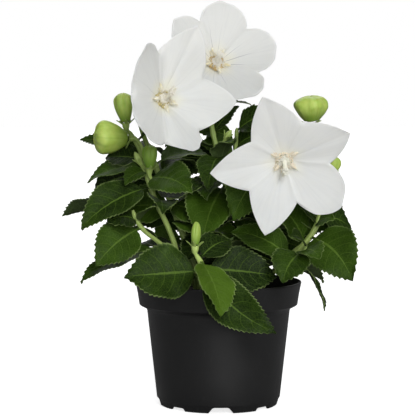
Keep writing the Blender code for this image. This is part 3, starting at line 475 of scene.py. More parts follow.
def blade_pattern():
    """Node group: midrib, side veins, fine net and margin of a leaf, from its UV map."""
    group, given = new_group("blade_pattern", UV=None, Object=None, Side_veins=7.0)
    parts = put(group, "ShaderNodeSeparateXYZ", {0: given["UV"]})
    across = abs(parts["X"] - 0.5) * 2.0
    along = parts["Y"]
    midrib = 1.0 - (across / along.step(0.1, 1.0, 0.050, 0.014)).step(0.45, 1.0)
    wobble = (spread(given["Object"], 130.0, 1.0) - 0.5) * 0.035
    start = along + wobble - across ** 1.25 * 0.26
    vein = off_middle((start - 0.02) * given["Side veins"]).step(0.86, 0.97)
    cells = put(group, "ShaderNodeTexVoronoi",
                {"Vector": given["Object"], "Scale": 620.0, "Randomness": 0.9},
                feature="DISTANCE_TO_EDGE")
    return finish_group(
        group, Midrib=midrib, Veins=vein * across.step(0.98, 0.55),
        Net=1.0 - cells["Distance"].step(0.02, 0.13), Margin=across.step(0.90, 0.995),
        Patches=spread(given["Object"], 75.0, 3.0, 0.6))


def fine_grain():
    """Node group: a fine surface grain, for bumps, and a broad mottling, for colour."""
    group, given = new_group("fine_grain", Object=None, Grain=1500.0, Mottle=60.0)
    return finish_group(group, Grain=spread(given["Object"], given["Grain"], 4.0, 0.6),
                        Mottle=spread(given["Object"], given["Mottle"], 3.0, 0.5))


def petal_pattern():
    """Node group: the fine rays and main veins that run from a petal's throat to its edge."""
    group, given = new_group("petal_pattern", UV=None, Object=None, Main_veins=15.0)
    parts = put(group, "ShaderNodeSeparateXYZ", {0: given["UV"]})
    turn = parts["X"]
    outward = parts["Y"]
    drift = (spread(given["Object"], 90.0, 1.0) - 0.5) * 0.30
    off_vein = off_middle(turn * given["Main veins"] + drift)
    vein = (off_vein - outward.step(0.1, 0.9, 0.90, 0.97)).step(0.0, 0.05)
    bold = put(group, "ShaderNodeTexNoise", {"W": turn * 37.0, "Scale": 1.0, "Detail": 0.0},
               noise_dimensions="1D")["Fac"]
    return finish_group(
        group, Rays=spread(ring_place(turn, outward, 16.0, 1.3), 1.0, 3.0, 0.65),
        Veins=vein * outward.step(0.72, 0.20) * bold.step(0.42, 0.60, 0.15, 1.0),
        Throat=outward.step(0.40, 0.10),
        Seams=1.0 - off_middle(turn * float(LOBES)).step(0.0, 0.05),
        Mottle=spread(given["Object"], 55.0), Edge=outward.step(0.955, 0.995))


BLADE_PATTERN = blade_pattern()
FINE_GRAIN = fine_grain()
PETAL_PATTERN = petal_pattern()


class Finish:
    """A material in the making: its shader, and the coordinates and grain that it reads."""

    def __init__(self, name, grain, mottle, **values):
        self.material = bpy.data.materials.new(name)
        self.material.use_nodes = True
        self.tree = self.material.node_tree
        self.shader = self.tree.nodes["Principled BSDF"]
        for socket, value in values.items():
            self.shader.inputs[socket.replace("_", " ")].default_value = value
        self.place = put(self.tree, "ShaderNodeTexCoord")
        grains = self.pattern(FINE_GRAIN, Object=self.place["Object"], Grain=grain, Mottle=mottle)
        self.grain = grains["Grain"]
        self.mottle = grains["Mottle"]

    def pattern(self, group, **inputs):
        """A node group's outputs."""
        return put(self.tree, "ShaderNodeGroup", inputs, node_tree=group)

    def tone(self):
        """The tone that each vertex of a piece holds."""
        return put(self.tree, "ShaderNodeAttribute", attribute_name="tone")["Fac"]

    def around_and_along(self):
        """The two coordinates of the piece's own UV map."""
        parts = put(self.tree, "ShaderNodeSeparateXYZ", {0: self.place["UV"]})
        return parts["X"], parts["Y"]

    def coated(self, colour, roughness, height, bump, distance):
        """The material, with its colour, roughness and bump linked to its shader."""
        bumped = put(self.tree, "ShaderNodeBump", {"Strength": bump, "Distance": distance,
                                                   "Height": height})
        for socket, value in (("Base Color", colour), ("Roughness", roughness),
                              ("Normal", bumped[0])):
            self.tree.links.new(value.socket, self.shader.inputs[socket])
        return self.material


def leaf_material(name, dark, light, young, vein, margin, relief, net_share, roughness):
    """The blade of a leaf: mottled green, with paler veins and a pale toothed margin."""
    finish = Finish(name, 2600.0, 210.0, Specular_IOR_Level=0.085)
    tone = finish.tone()
    pattern = finish.pattern(BLADE_PATTERN, UV=finish.place["UV"], Object=finish.place["Object"])
    patches = pattern["Patches"]
    colour = mixed((patches * 0.9 + tone * 0.55).step(0.15, 1.0), dark, light)
    colour = mixed(tone.step(1.0, 1.7), colour, young)
    for part, share in (("Net", net_share), ("Veins", 0.22), ("Midrib", 0.60)):
        colour = mixed(pattern[part] * share, colour, vein)
    colour = mixed(pattern["Margin"] * patches.step(0.35, 0.62, 0.15, 0.70), colour, margin)
    rough = finish.mottle.step(0.2, 0.8, roughness - 0.07, roughness + 0.10)
    height = pattern["Veins"] * relief + pattern["Net"] * (relief * 0.45)
    height = height + pattern["Midrib"] * (relief * 0.6) + finish.grain * 0.16
    return finish.coated(colour, rough, height, 0.55, 0.00022)


def stem_material():
    """Young green stem with fine lengthwise ribs and paler patches."""
    finish = Finish("stem_green", 1900.0, 120.0, Specular_IOR_Level=0.4)
    around, _ = finish.around_and_along()
    ribs = abs(calc("SINE", around * (6 * math.pi)))
    share = finish.mottle * 0.8 + finish.tone() * 0.5
    colour = mixed(share, (0.085, 0.160, 0.016), (0.430, 0.560, 0.150))
    colour = mixed(ribs ** 6.0 * 0.35, colour, (0.50, 0.62, 0.24))
    rough = finish.grain.step(0.3, 0.7, 0.42, 0.58)
    return finish.coated(colour, rough, ribs * 0.6 + finish.grain, 0.5, 0.00015)


def petal_material(name, vein_share, throat_colour, throat_share, painted_shade_scale=1.0):
    """White petal: fine grey rays, darker main veins near the throat, a soft glow and painted shade.
    """
    finish = Finish(name, 2400.0, 300.0, Specular_IOR_Level=0.20, Subsurface_Weight=0.75,
                    Subsurface_Scale=0.0035, Subsurface_Radius=(1.0, 0.95, 0.85),
                    Sheen_Weight=0.10)

    # Painted shade: every petal colour is scaled down by the last value, for a bloom that stands in
    # shade.
    def tinted(red, green, blue):
        return red * painted_shade_scale, green * painted_shade_scale, blue * painted_shade_scale

    pattern = finish.pattern(PETAL_PATTERN, UV=finish.place["UV"], Object=finish.place["Object"])
    colour = mixed(pattern["Rays"].step(0.42, 0.72) * 0.30, tinted(0.840, 0.840, 0.790),
                   tinted(0.735, 0.739, 0.710))
    colour = mixed(pattern["Mottle"].step(0.4, 0.8) * 0.25, colour, tinted(0.745, 0.747, 0.715))
    colour = mixed(pattern["Throat"] * throat_share, colour, throat_colour)
    colour = mixed(pattern["Veins"] * vein_share, colour, (0.240, 0.236, 0.250))
    colour = mixed(pattern["Seams"] * 0.10, colour, (0.640, 0.660, 0.580))
    colour = mixed(pattern["Edge"] * 0.5, colour, (0.900, 0.900, 0.870))
    height = pattern["Rays"] * 0.8 + finish.grain * 0.25 - pattern["Veins"] * 0.4
    rough = finish.mottle.step(0.2, 0.8, 0.52, 0.66)
    return finish.coated(colour, rough, height, 0.30, 0.00020)


def bud_material():
    """Balloon bud: yellow-green skin, streaked lengthwise, darker at its neck and along its seams."""
    finish = Finish("bud_skin", 2200.0, 170.0, Specular_IOR_Level=0.35, Subsurface_Weight=0.10,
                    Subsurface_Scale=0.0015)
    around, along = finish.around_and_along()
    streaks = spread(ring_place(around, along, 7.0, 1.6), 1.0, 3.0, 0.6)
    seam = 1.0 - off_middle(around * float(LOBES) + 0.5).step(0.0, 0.12)
    share = streaks * 0.6 + finish.mottle.step(0.3, 0.7) * 0.3
    colour = mixed(share, (0.270, 0.420, 0.040), (0.600, 0.720, 0.190))
    colour = mixed(along.step(0.34, 0.02, 0.0, 0.8), colour, (0.150, 0.260, 0.025))
    colour = mixed(seam * 0.22, colour, (0.200, 0.330, 0.040))
    colour = mixed((0.0 - finish.tone()).step(0.0, 1.0) * 0.80, colour, (0.110, 0.250, 0.020))
    height = streaks + finish.grain * 0.3 - seam * 0.6
    rough = finish.mottle.step(0.2, 0.8, 0.38, 0.52)
    return finish.coated(colour, rough, height, 0.45, 0.00020)


def stamen_material(name, light, shade, fleck):
    """Pollen-dusted cream, flecked with tan, with a faint painted glow."""
    # The faint cream emission is a painted glow that lifts stamens and styles lying in shade.
    finish = Finish(name, 3200.0, 520.0, Specular_IOR_Level=0.2, Subsurface_Weight=0.5,
                    Subsurface_Scale=0.002, Subsurface_Radius=(1.0, 0.95, 0.85), Sheen_Weight=0.3,
                    Emission_Color=(1.0, 0.90, 0.68, 1), Emission_Strength=0.04)
    colour = mixed(finish.mottle.step(0.35, 0.65), shade, light)
    colour = mixed(finish.grain.step(0.60, 0.75, 0.0, 0.7), colour, fleck)
    rough = finish.grain.step(0.3, 0.7, 0.62, 0.85)
    return finish.coated(colour, rough, finish.grain, 0.8, 0.00030)


def pot_material():
    """Black moulded plastic: satin, with a faint sparkle of grain, scuffs and dust."""
    finish = Finish("pot_black_plastic", 3400.0, 34.0, Specular_IOR_Level=0.38)
    flow = put(finish.tree, "ShaderNodeMapping", {"Vector": finish.place["Object"],
                                                  "Scale": (1.0, 1.0, 0.16)})
    streaks = spread(flow[0], 420.0, 3.0, 0.6)
    colour = mixed(finish.mottle.step(0.45, 0.85) * 0.5, (0.0085, 0.0085, 0.0087),
                   (0.0140, 0.0138, 0.0136))
    colour = mixed(streaks.step(0.62, 0.80, 0.0, 0.35), colour, (0.034, 0.0335, 0.033))
    rough = finish.mottle.step(0.2, 0.8, 0.36, 0.48) + streaks * 0.08
    return finish.coated(colour, rough, finish.grain + streaks * 0.5, 0.30, 0.00010)


def soil_material():
    """Moist peat: brown-black crumbs with pale fibres here and there."""
    finish = Finish("peat", 1300.0, 260.0, Specular_IOR_Level=0.25)
    colour = mixed(finish.mottle.step(0.3, 0.7), (0.0120, 0.0080, 0.0055),
                   (0.0480, 0.0300, 0.0180))
    colour = mixed(finish.grain.step(0.60, 0.78, 0.0, 0.6), colour, (0.110, 0.075, 0.045))
    colour = mixed(finish.tone().step(0.55, 1.0, 0.0, 0.8), colour, (0.160, 0.110, 0.065))
    rough = finish.grain.step(0.3, 0.7, 0.80, 0.98)
    return finish.coated(colour, rough, finish.grain, 1.0, 0.00060)


def floor_material():
    """Plain pale floor that bounces only part of its light."""
    material = bpy.data.materials.new("pale_floor")
    material.use_nodes = True
    tree = material.node_tree
    shader = tree.nodes["Principled BSDF"]
    for socket, value in (("Roughness", 0.9), ("Specular IOR Level", 0.0),
                          ("Emission Color", (1, 1, 1, 1)), ("Emission Strength", 0.76)):
        shader.inputs[socket].default_value = value
    mottle = spread(put(tree, "ShaderNodeTexCoord")["Object"], 5.0)
    colour = mixed(mottle * 0.1, (0.62, 0.62, 0.62), (0.61, 0.61, 0.61))
    tree.links.new(colour.socket, shader.inputs["Base Color"])
    bounce = put(tree, "ShaderNodeBsdfDiffuse", {"Color": (0.34, 0.34, 0.34, 1)})
    both = put(tree, "ShaderNodeMixShader", {
        0: put(tree, "ShaderNodeLightPath")["Is Camera Ray"], 1: bounce[0],
        2: Outputs(shader)[0]})
    tree.links.new(both[0].socket, tree.nodes["Material Output"].inputs["Surface"])
    return material


STAMEN_FINISHES = {
    "cream_right": ("stamen_peach", (0.800, 0.710, 0.560), (0.760, 0.640, 0.460),
                    (0.640, 0.500, 0.320)),
    "cream_left": ("stamen_cream", (0.800, 0.770, 0.640), (0.690, 0.620, 0.400),
                   (0.480, 0.400, 0.170)),
    "cream_top": ("stamen_fluff", (0.800, 0.770, 0.640), (0.680, 0.600, 0.370),
                  (0.460, 0.360, 0.140)),
    "tan_right": ("stamen_ochre", (0.740, 0.600, 0.390), (0.640, 0.490, 0.280),
                  (0.460, 0.340, 0.160)),
    "tan_left": ("stamen_bronze", (0.560, 0.480, 0.240), (0.400, 0.330, 0.120),
                 (0.200, 0.170, 0.050)),
    "tan_top": ("stamen_tan", (0.580, 0.440, 0.190), (0.450, 0.280, 0.080),
                (0.230, 0.150, 0.040)),
    "style_right": ("style_white", (0.800, 0.790, 0.690), (0.750, 0.750, 0.620),
                    (0.640, 0.650, 0.460)),
    "style_left": ("style_cream", (0.780, 0.750, 0.660), (0.740, 0.700, 0.580),
                   (0.600, 0.560, 0.400)),
    "style_top": ("style_pale", (0.790, 0.770, 0.710), (0.760, 0.740, 0.640),
                  (0.640, 0.600, 0.440)),
    "olive": ("stamen_olive", (0.300, 0.290, 0.140), (0.220, 0.220, 0.090),
              (0.120, 0.120, 0.040)),
}

MATERIALS = {
    "upper": leaf_material(
        "leaf_upper", dark=(0.007, 0.017, 0.0020), light=(0.034, 0.074, 0.0052),
        young=(0.060, 0.118, 0.009), vein=(0.115, 0.195, 0.030), margin=(0.220, 0.300, 0.100),
        relief=-0.8, net_share=0.13, roughness=0.50),
    "under": leaf_material(
        "leaf_under", dark=(0.034, 0.056, 0.016), light=(0.070, 0.108, 0.034),
        young=(0.090, 0.140, 0.036), vein=(0.120, 0.170, 0.060), margin=(0.170, 0.230, 0.100),
        relief=0.8, net_share=0.25, roughness=0.65),
    "stem": stem_material(),
    "petal_right": petal_material("petal_right", 0.10, (0.900, 0.880, 0.740), 0.8),
    # The left and top blooms' petals are dimmed by their last value, which is painted shade.
    "petal_left": petal_material("petal_left", 0.22, (0.830, 0.800, 0.610), 0.8, 0.92),
    "petal_top": petal_material("petal_top", 0.90, (0.780, 0.740, 0.560), 0.7, 0.84),
    "bud": bud_material(),
    "pot": pot_material(),
    "soil": soil_material(),
    "floor": floor_material(),
}
MATERIALS.update((use, stamen_material(*finish)) for use, finish in STAMEN_FINISHES.items())


# Shapes

def direction(azimuth, elevation):
    """The unit vector that an azimuth and an elevation give."""
    around = math.radians(azimuth)
    up = math.radians(elevation)
    return Vector((math.cos(up) * math.cos(around), math.cos(up) * math.sin(around), math.sin(up)))


def ease(value, low, high):
    """A smooth step from 0 at low to 1 at high."""
    share = min(max((value - low) / (high - low), 0.0), 1.0)
    return share * share * (3 - 2 * share)


def flower_frame(flower):
    """A bud's or bloom's base, axis, right-hand side and upper side, seen from its front."""
    axis = direction(flower.azimuth, flower.elevation)
    side = Vector((0, 0, 1)).cross(axis).normalized()
    return Vector(flower.base), axis, side, axis.cross(side)


def shaped_grid(columns, rows, place, tone=0.0, material=0):
    """A grid with a UV map, its corners set by place(across, along), each from 0 to 1."""
    mesh = bmesh.new()
    mesh.loops.layers.uv.new("UVMap")
    layer = mesh.verts.layers.float.new("tone")
    bmesh.ops.create_grid(mesh, x_segments=columns, y_segments=rows, size=0.5, calc_uvs=True)
    for vertex in mesh.verts:
        vertex.co = place(vertex.co.x + 0.5, vertex.co.y + 0.5)
        vertex[layer] = tone
    bmesh.ops.remove_doubles(mesh, verts=mesh.verts, dist=MERGE_DISTANCE)
    for face in mesh.faces:
        face.smooth = True
        face.material_index = material
    return mesh


def outwards(mesh):
    """Turn a closed body's faces outwards."""
    bmesh.ops.recalc_face_normals(mesh, faces=mesh.faces)
    return mesh


def walled(mesh, thickness, under):
    """Give a sheet a wall behind its faces, whose far side takes the under material."""
    mesh.normal_update()
    made = bmesh.ops.solidify(mesh, geom=mesh.faces, thickness=thickness)
    for item in made["geom"]:
        if isinstance(item, bmesh.types.BMFace):
            item.material_index = under
    for face in mesh.faces:
        face.smooth = True
    return mesh


def dressed(name, meshes, materials, nodes, sharp=50.0):
    """Join shapes as one piece that stands for CAD nodes."""
    joined = bmesh.new()
    for mesh in meshes:
        step = bpy.data.meshes.new("step")
        mesh.to_mesh(step)
        mesh.free()
        joined.from_mesh(step)
        bpy.data.meshes.remove(step)
    data = bpy.data.meshes.new(name)
    joined.to_mesh(data)
    joined.free()
    for look in materials:
        data.materials.append(MATERIALS[look])
    data.set_sharp_from_angle(angle=math.radians(sharp))
    piece = bpy.data.objects.new(name, data)
    bpy.context.scene.collection.objects.link(piece)
    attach(piece, "root")
    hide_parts(*nodes)
    return piece


def smooth_path(points, step):
    """Points about a step apart on a smooth curve through all but the first and last point."""
    path = [points[1]]
    for before, start, end, after in zip(points, points[1:], points[2:], points[3:]):
        count = max(1, round((end - start).length / step))
        for index in range(1, count + 1):
            t = index / count
            path.append(0.5 * (2 * start + (end - before) * t
                               + (2 * before - 5 * start + 4 * end - after) * t ** 2
                               + (3 * start - before - 3 * end + after) * t ** 3))
    return path


def tube(path, radii, sides, tone=0.0, material=0):
    """A closed round bar along a path, as thick at each point as its radius says."""
    tangents = [(path[min(i + 1, len(path) - 1)] - path[max(i - 1, 0)]).normalized()
                for i in range(len(path))]
    side = tangents[0].orthogonal().normalized()
    frames = []
    for tangent in tangents:
        side = (side - tangent * side.dot(tangent)).normalized()
        frames.append((side, tangent.cross(side)))
    rows = len(path) + 1

    def place(across, along):
        row = round(along * rows)
        ring = min(max(row - 1, 0), len(path) - 1)
        radius = 0.0 if row in (0, rows) else radii[ring]
        angle = math.tau * across
        across_vector = frames[ring][0] * math.cos(angle) + frames[ring][1] * math.sin(angle)
        return path[ring] + across_vector * radius

    return outwards(shaped_grid(sides, rows, place, tone, material))


def path_end(name):
    """The last two points of a stem that carries a flower, and its calyx radius."""
    if name in BLOOMS:
        base, axis, _, _ = flower_frame(BLOOMS[name])
        return ([base - axis * BLOOM_CALYX_LENGTH, base - axis * BLOOM_SEAT_DEPTH],
                BLOOM_CALYX_RADIUS)
    base, axis, _, _ = flower_frame(BUDS[name])
    return [base - axis * BUD_CALYX_LENGTH, base - axis * BUD_SEAT_DEPTH], BUD_CALYX_RADIUS


def stem_points(stem):
    """The points that a stem passes, with one more beyond its end, and its calyx radius."""
    foot = Vector((*stem.root, SOIL_HEIGHT - ROOT_DEPTH))
    collar = Vector((*stem.root, SOIL_HEIGHT + COLLAR_HEIGHT))
    points = [foot, collar] + [Vector(point) for point in stem.route]
    calyx = None
    if stem.ends_in:
        end, calyx = path_end(stem.ends_in)
        points += end
    points.append(2 * points[-1] - points[-2])
    return points, calyx


def point_at_height(path, height):
    """The first point of a path at the given height."""
    for low, high in zip(path, path[1:]):
        if low.z <= height <= high.z:
            return low.lerp(high, (height - low.z) / (high.z - low.z))
    return path[-1].copy()


def widen_to_calyx(radii, calyx, shares):
    """Widen a bar's last radii to its calyx, by shares counted back from the calyx's mouth."""
    for back, share in enumerate(shares, start=1):
        radii[-back] = calyx * share


def stem_bar(points, calyx, stem, leaves, tone):
    """A stem's bar, thicker where its leaves start and where it swells to its calyx."""
    fine = [points[0]] + smooth_path(points, STEM_FINE_STEP)
    thick, thin = stem.radius
    last = len(fine) - 1
    radii = []
    for index, point in enumerate(fine):
        radius = thick + (thin - thick) * index / last
        knots = [ease(abs(point.z - leaf.height), 0.0028, 0.0) for leaf in leaves]
        radii.append(radius * (1.0 + 0.22 * max(knots)))
    if calyx:
        widen_to_calyx(radii, calyx, [share ** 1.2 for share in (1.0, 0.92, 0.72, 0.48)])
    else:
        radii[last] = thin * 0.6
    return tube(fine, radii, 12, tone, GREEN)


def branch_bar(start, branch):
    """A branch from inside its stem to the bud that it carries."""
    end, calyx = path_end(branch.bud)
    points = [start] + [Vector(point) for point in branch.route] + end
    points = [2 * points[0] - points[1]] + points + [2 * points[-1] - points[-2]]
    path = smooth_path(points, BRANCH_FINE_STEP)
    radii = [BRANCH_RADIUS] * len(path)
    widen_to_calyx(radii, calyx, (1.0, 0.86, 0.62))
    return tube(path, radii, 10, 0.3, GREEN)


def sprout_bars(start, sprout):
    """A small green side bud: its stalk, its narrow body and three scale leaves."""
    tip = Vector(sprout.tip)
    shape = [(0.0, 0.0009), (0.3, 0.0008), (0.50, 0.0009), (0.60, 0.0017), (0.72, sprout.radius),
             (0.84, sprout.radius * 0.9), (0.94, sprout.radius * 0.5), (1.0, 0.0003)]
    path = [start.lerp(tip, share) for share, _ in shape]
    bars = [tube(path, [radius for _, radius in shape], 10, 0.5, GREEN)]
    way = (tip - start).normalized()
    side = way.orthogonal().normalized()
    for index in range(3):
        outward = Quaternion(way, math.tau * index / 3) @ side
        root = start.lerp(tip, 0.58) + outward * 0.0010
        bars.append(sepal(root, (way * 0.8 + outward * 0.35).normalized() * 0.0052, outward,
                          0.0016))
    return bars


def sepal(root, way, outward, width=0.0022):
    """A narrow pointed sepal, keeled and curved away at its tip."""
    across = way.cross(outward).normalized()
    lift = across.cross(way).normalized()

    def place(around, along):
        half = width / 2 * math.sin(math.pi * (0.18 + 0.82 * along)) ** 0.7 if along < 1 else 0.0
        angle = math.tau * around
        bow = lift * (0.0009 * along * along)
        wide = across * (math.cos(angle) * half)
        thick = lift * (math.sin(angle) * (0.00035 if 0 < along < 1 else 0.0))
        if along == 0:
            wide = Vector()
        return root + way * along + bow + wide + thick

    return outwards(shaped_grid(8, 8, place, 0.2, GREEN))


def calyx_sepals(name):
    """The five narrow sepals round a flower's calyx."""
    bloom = name in BLOOMS
    base, axis, side, up = flower_frame(BLOOMS[name] if bloom else BUDS[name])
    back = 0.0022 if bloom else 0.0016
    start_radius = 0.0020 if bloom else 0.0012
    forward = 0.15 if bloom else BUDS[name].hug
    length = SEPAL_LENGTH if bloom else BUD_SEPAL_LENGTH
    sepals = []
    for index in range(LOBES):
        angle = math.tau * (index + 0.5) / LOBES
        outward = side * math.cos(angle) + up * math.sin(angle)
        way = (outward + axis * forward).normalized() * length
        sepals.append(sepal(base - axis * back + outward * start_radius, way, outward - axis))
    return sepals


def leaf_bends(leaf):
    """A leaf as it was chosen, and turned, raised or arched a little, as its solid may be."""
    for turn in (0, 4, -4, 8, -8, 14, -14, 22, -22, 32, -32, 44, -44):
        for rise in (0, 0.002, -0.002, 0.005, -0.005, 0.009, -0.009):
            for arch in (0, 0.002, -0.002):
                raised = max(min(leaf.rise + rise, leaf.length * 0.9), -leaf.length * 0.9)
                yield leaf._replace(turn=leaf.turn + turn, rise=raised, arch=leaf.arch + arch)


def leaf_spine(leaf):
    """A leaf's straight way from root to tip, the lift that arches it and its side."""
    run = math.sqrt(max(leaf.length ** 2 - leaf.rise ** 2, 0.0))
    turn = math.radians(leaf.turn)
    chord = Vector((math.cos(turn) * run, math.sin(turn) * run, leaf.rise))
    level_side = Vector((-math.sin(turn), math.cos(turn), 0))
    lift = chord.cross(level_side).normalized() * leaf.arch * 2
    return chord, lift, Quaternion(chord, math.radians(leaf.roll)) @ level_side


def misfit(leaf, root, solid):
    """How far points of a leaf's folded blade lie from the stem's solid, in all."""
    chord, lift, side = leaf_spine(leaf)
    fold = math.radians(LEAF_FOLD)
    total = 0.0
    for share in (0.3, 0.5, 0.75, 1.0):
        centre = root + chord * share + lift * (2 * share * (1 - share))
        normal = (chord + lift * (2 - 4 * share)).cross(side).normalized()
        half = leaf_half_width(share, leaf.width)
        for offset in (-half / 2, 0, half / 2):
            spot = centre + side * (offset * math.cos(fold)) + normal * (
                abs(offset) * math.sin(fold))
            total += solid.find_nearest(spot)[3]
    return total


def tuft_leaves(name, stem):
    """The leaves that a stem's tufts grow, turned on by an even angle with small differences."""
    draw = random.Random(name)
    leaves = []
    for tuft in stem.tufts:
        for index in range(tuft.count):
            share = index / max(tuft.count - 1, 1)
            size = 1.0 - 0.35 * share + draw.uniform(-0.08, 0.08)
            leaves.append(Leaf(
                height=tuft.low + (tuft.high - tuft.low) * share,
                turn=tuft.first_turn + tuft.sweep * index + draw.uniform(-12, 12),
                length=tuft.length * size,
                rise=tuft.rise - 0.010 * (1 - share) + draw.uniform(-0.004, 0.004),
                width=tuft.width * size,
                arch=0.005 + draw.uniform(-0.001, 0.002),
                roll=draw.uniform(-18, 18)))
    return leaves


def placed_leaves(name, stem, path):
    """The leaves that a stem's solid has, the chosen ones first, bent as the solid shows them."""
    mesh = bmesh.new()
    mesh.from_mesh(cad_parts[name].data)
    solid = BVHTree.FromBMesh(mesh)
    mesh.free()
    chosen = sorted(stem.leaves, key=lambda leaf: -leaf.length * leaf.width)
    placed = []
    for leaf in chosen + tuft_leaves(name, stem):
        root = point_at_height(path, leaf.height)
        found = min(leaf_bends(leaf), key=lambda bend: misfit(bend, root, solid))
        if misfit(found, root, solid) < LARGEST_MISFIT:
            placed.append(Leaf(*(round(value, digits) for value, digits in zip(found, LEAF_DIGITS))))
    return placed


def leaf_half_width(along, width):
    """Half the blade's width at a share of its length, with its narrow stalk first."""
    if along <= PETIOLE_SHARE:
        return PETIOLE_HALF_WIDTH
    share = (along - PETIOLE_SHARE) / (1 - PETIOLE_SHARE)
    widest = 0.40
    rise_power = 0.66
    fall_power = rise_power * (1 - widest) / widest
    form = (share / widest) ** rise_power * ((1 - share) / (1 - widest)) ** fall_power
    return PETIOLE_HALF_WIDTH * (1 - share) + (width / 2 - PETIOLE_HALF_WIDTH * (1 - share)) * form


def side_vein(across, along):
    """How deep a side vein lies at a place on the blade, from 0 to 1."""
    phase = ((along - 0.26 * across ** 1.25 - 0.02) * 7) % 1.0
    return ease(abs(phase - 0.5) * 2, 0.62, 1.0)


def leaf_blade(root, leaf, seed, tone=None):
    """A leaf: arched, folded along its midrib, puckered between its veins, cut into teeth."""
    draw = random.Random(seed)
    teeth = max(6, round(leaf.length * (1 - PETIOLE_SHARE) / TOOTH_SPACING))
    stalk_rows = 3
    rows = stalk_rows + 3 * teeth
    chord, lift, side = leaf_spine(leaf)
    fold = math.radians(LEAF_FOLD + draw.uniform(-4, 4))
    waves = draw.uniform(2.0, 3.2)
    phases = (draw.uniform(0, math.tau), draw.uniform(0, math.tau))
    wave_height = leaf.width * draw.uniform(0.022, 0.036)
    pucker = min(0.00050, leaf.width * 0.018)
    droop = leaf.length * draw.uniform(0.3, 0.9)

    def place(across, along):
        row = round(along * rows)
        if row <= stalk_rows:
            share = PETIOLE_SHARE * row / stalk_rows
        else:
            share = PETIOLE_SHARE + (1 - PETIOLE_SHARE) * (row - stalk_rows) / (3 * teeth)
        centre = root + chord * share + lift * (2 * share * (1 - share))
        tangent = (chord + lift * (2 - 4 * share)).normalized()
        normal = tangent.cross(side).normalized()
        half = 0.0 if row == rows else leaf_half_width(share, leaf.width)
        spot = (0.5 - across) * 2
        reach = abs(spot) ** 0.8
        offset = math.copysign(reach, spot)
        forward = 0.0
        if stalk_rows < row < rows:
            bite = (-1.0, -0.45, 0.20)[(row - stalk_rows) % 3] * ease(reach, 0.74, 1.0)
            tooth = min(TOOTH_DEPTH, half * 0.25)
            half += tooth * bite
            if (row - stalk_rows) % 3 == 2:
                forward = TOOTH_SPACING * 0.30 * ease(reach, 0.78, 1.0) * min(1, half / 0.004)
        blade = ease(share, PETIOLE_SHARE, 0.25)
        soft = math.sqrt(reach * reach + 0.004) - 0.063
        rise = soft * half * math.sin(fold)
        rise += BLADE_LIFT - 0.06 * blade * reach * reach * half
        rise -= pucker * blade * side_vein(abs(spot), share) * (1 - 0.5 * reach)
        phase = phases[0] if spot < 0 else phases[1]
        rise += wave_height * blade * ease(reach, 0.45, 1.0) * math.sin(math.tau * waves * share
                                                                       + phase)
        rise -= droop * max(share - 0.80, 0) ** 2
        return centre + side * (offset * half * math.cos(fold)) + normal * rise + tangent * forward

    drawn = draw.uniform(-0.7, 1.0)
    tone = drawn if tone is None else tone
    blade = shaped_grid(BLADE_COLUMNS, rows, place, tone, UPPER)
    return walled(blade, BLADE_THICKNESS, UNDER)


def dress_stem(name, stem):
    """One stem with its bars, calyxes, sepals and leaves."""
    points, calyx = stem_points(stem)
    path = [points[0]] + smooth_path(points, STEM_STEP)
    leaves = placed_leaves(name, stem, path)
    shapes = [stem_bar(points, calyx, stem, leaves, STEM_TONES.get(name, 0.1))]
    for branch in stem.branches:
        shapes.append(branch_bar(point_at_height(path, branch.height), branch))
    for sprout in stem.sprouts:
        shapes += sprout_bars(point_at_height(path, sprout.height), sprout)
    flowers = ([stem.ends_in] if stem.ends_in else []) + [branch.bud for branch in stem.branches]
    for flower in flowers:
        shapes += calyx_sepals(flower)
    for index, leaf in enumerate(leaves):
        root = point_at_height(path, leaf.height)
        shapes.append(leaf_blade(root, leaf, name + str(index), LEAF_TONES.get((name, index))))
    return dressed(name + "_dressed", shapes, ["upper", "under", "stem"], [name])


def lobe_rays(bloom):
    """The turn, reach, lift and roundness of each lobe's tip and notch, in order."""
    rays = []
    for index in range(LOBES):
        turn, reach, lift, roundness = bloom.tips[index]
        rays.append((bloom.spin + 72 * index + turn, reach, lift, roundness))
        turn, reach, lift = bloom.notches[index]
        rays.append((bloom.spin + 72 * index + 36 + turn, reach, lift, None))
    return rays


def corolla_edge(bloom, around):
    """The corolla's turn, reach and lift at a share of the way round, and how near a tip it is."""
    rays = lobe_rays(bloom)
    place = (around % 1.0) * len(rays)
    index = int(place) % len(rays)
    share = place - int(place)
    turn_a, reach_a, lift_a, round_a = rays[index]
    turn_b, reach_b, lift_b, round_b = rays[(index + 1) % len(rays)]
    start = math.radians(turn_a)
    sweep = math.radians((turn_b - turn_a) % 360)
    roundness = round_b if round_a is None else round_a
    from_notch = share if round_a is None else 1 - share
    arc = math.sin(math.pi / 2 * from_notch) ** 0.8
    arc = arc if round_a is None else 1 - arc
    near = Vector((math.cos(start), math.sin(start))) * reach_a
    far = Vector((math.cos(start + sweep), math.sin(start + sweep))) * reach_b
    chord = far - near
    bulge = Vector((chord.y, -chord.x)) * (0.30 * share * (1 - share))
    straight = near + chord * share + bulge
    turn = start + sweep * share
    curved = Vector((math.cos(turn), math.sin(turn))) * (reach_a + (reach_b - reach_a) * arc)
    edge = straight.lerp(curved, roundness)
    lift = lift_a + (lift_b - lift_a) * (share + (arc - share) * roundness)
    return math.atan2(edge.y, edge.x), edge.length, lift, from_notch, roundness


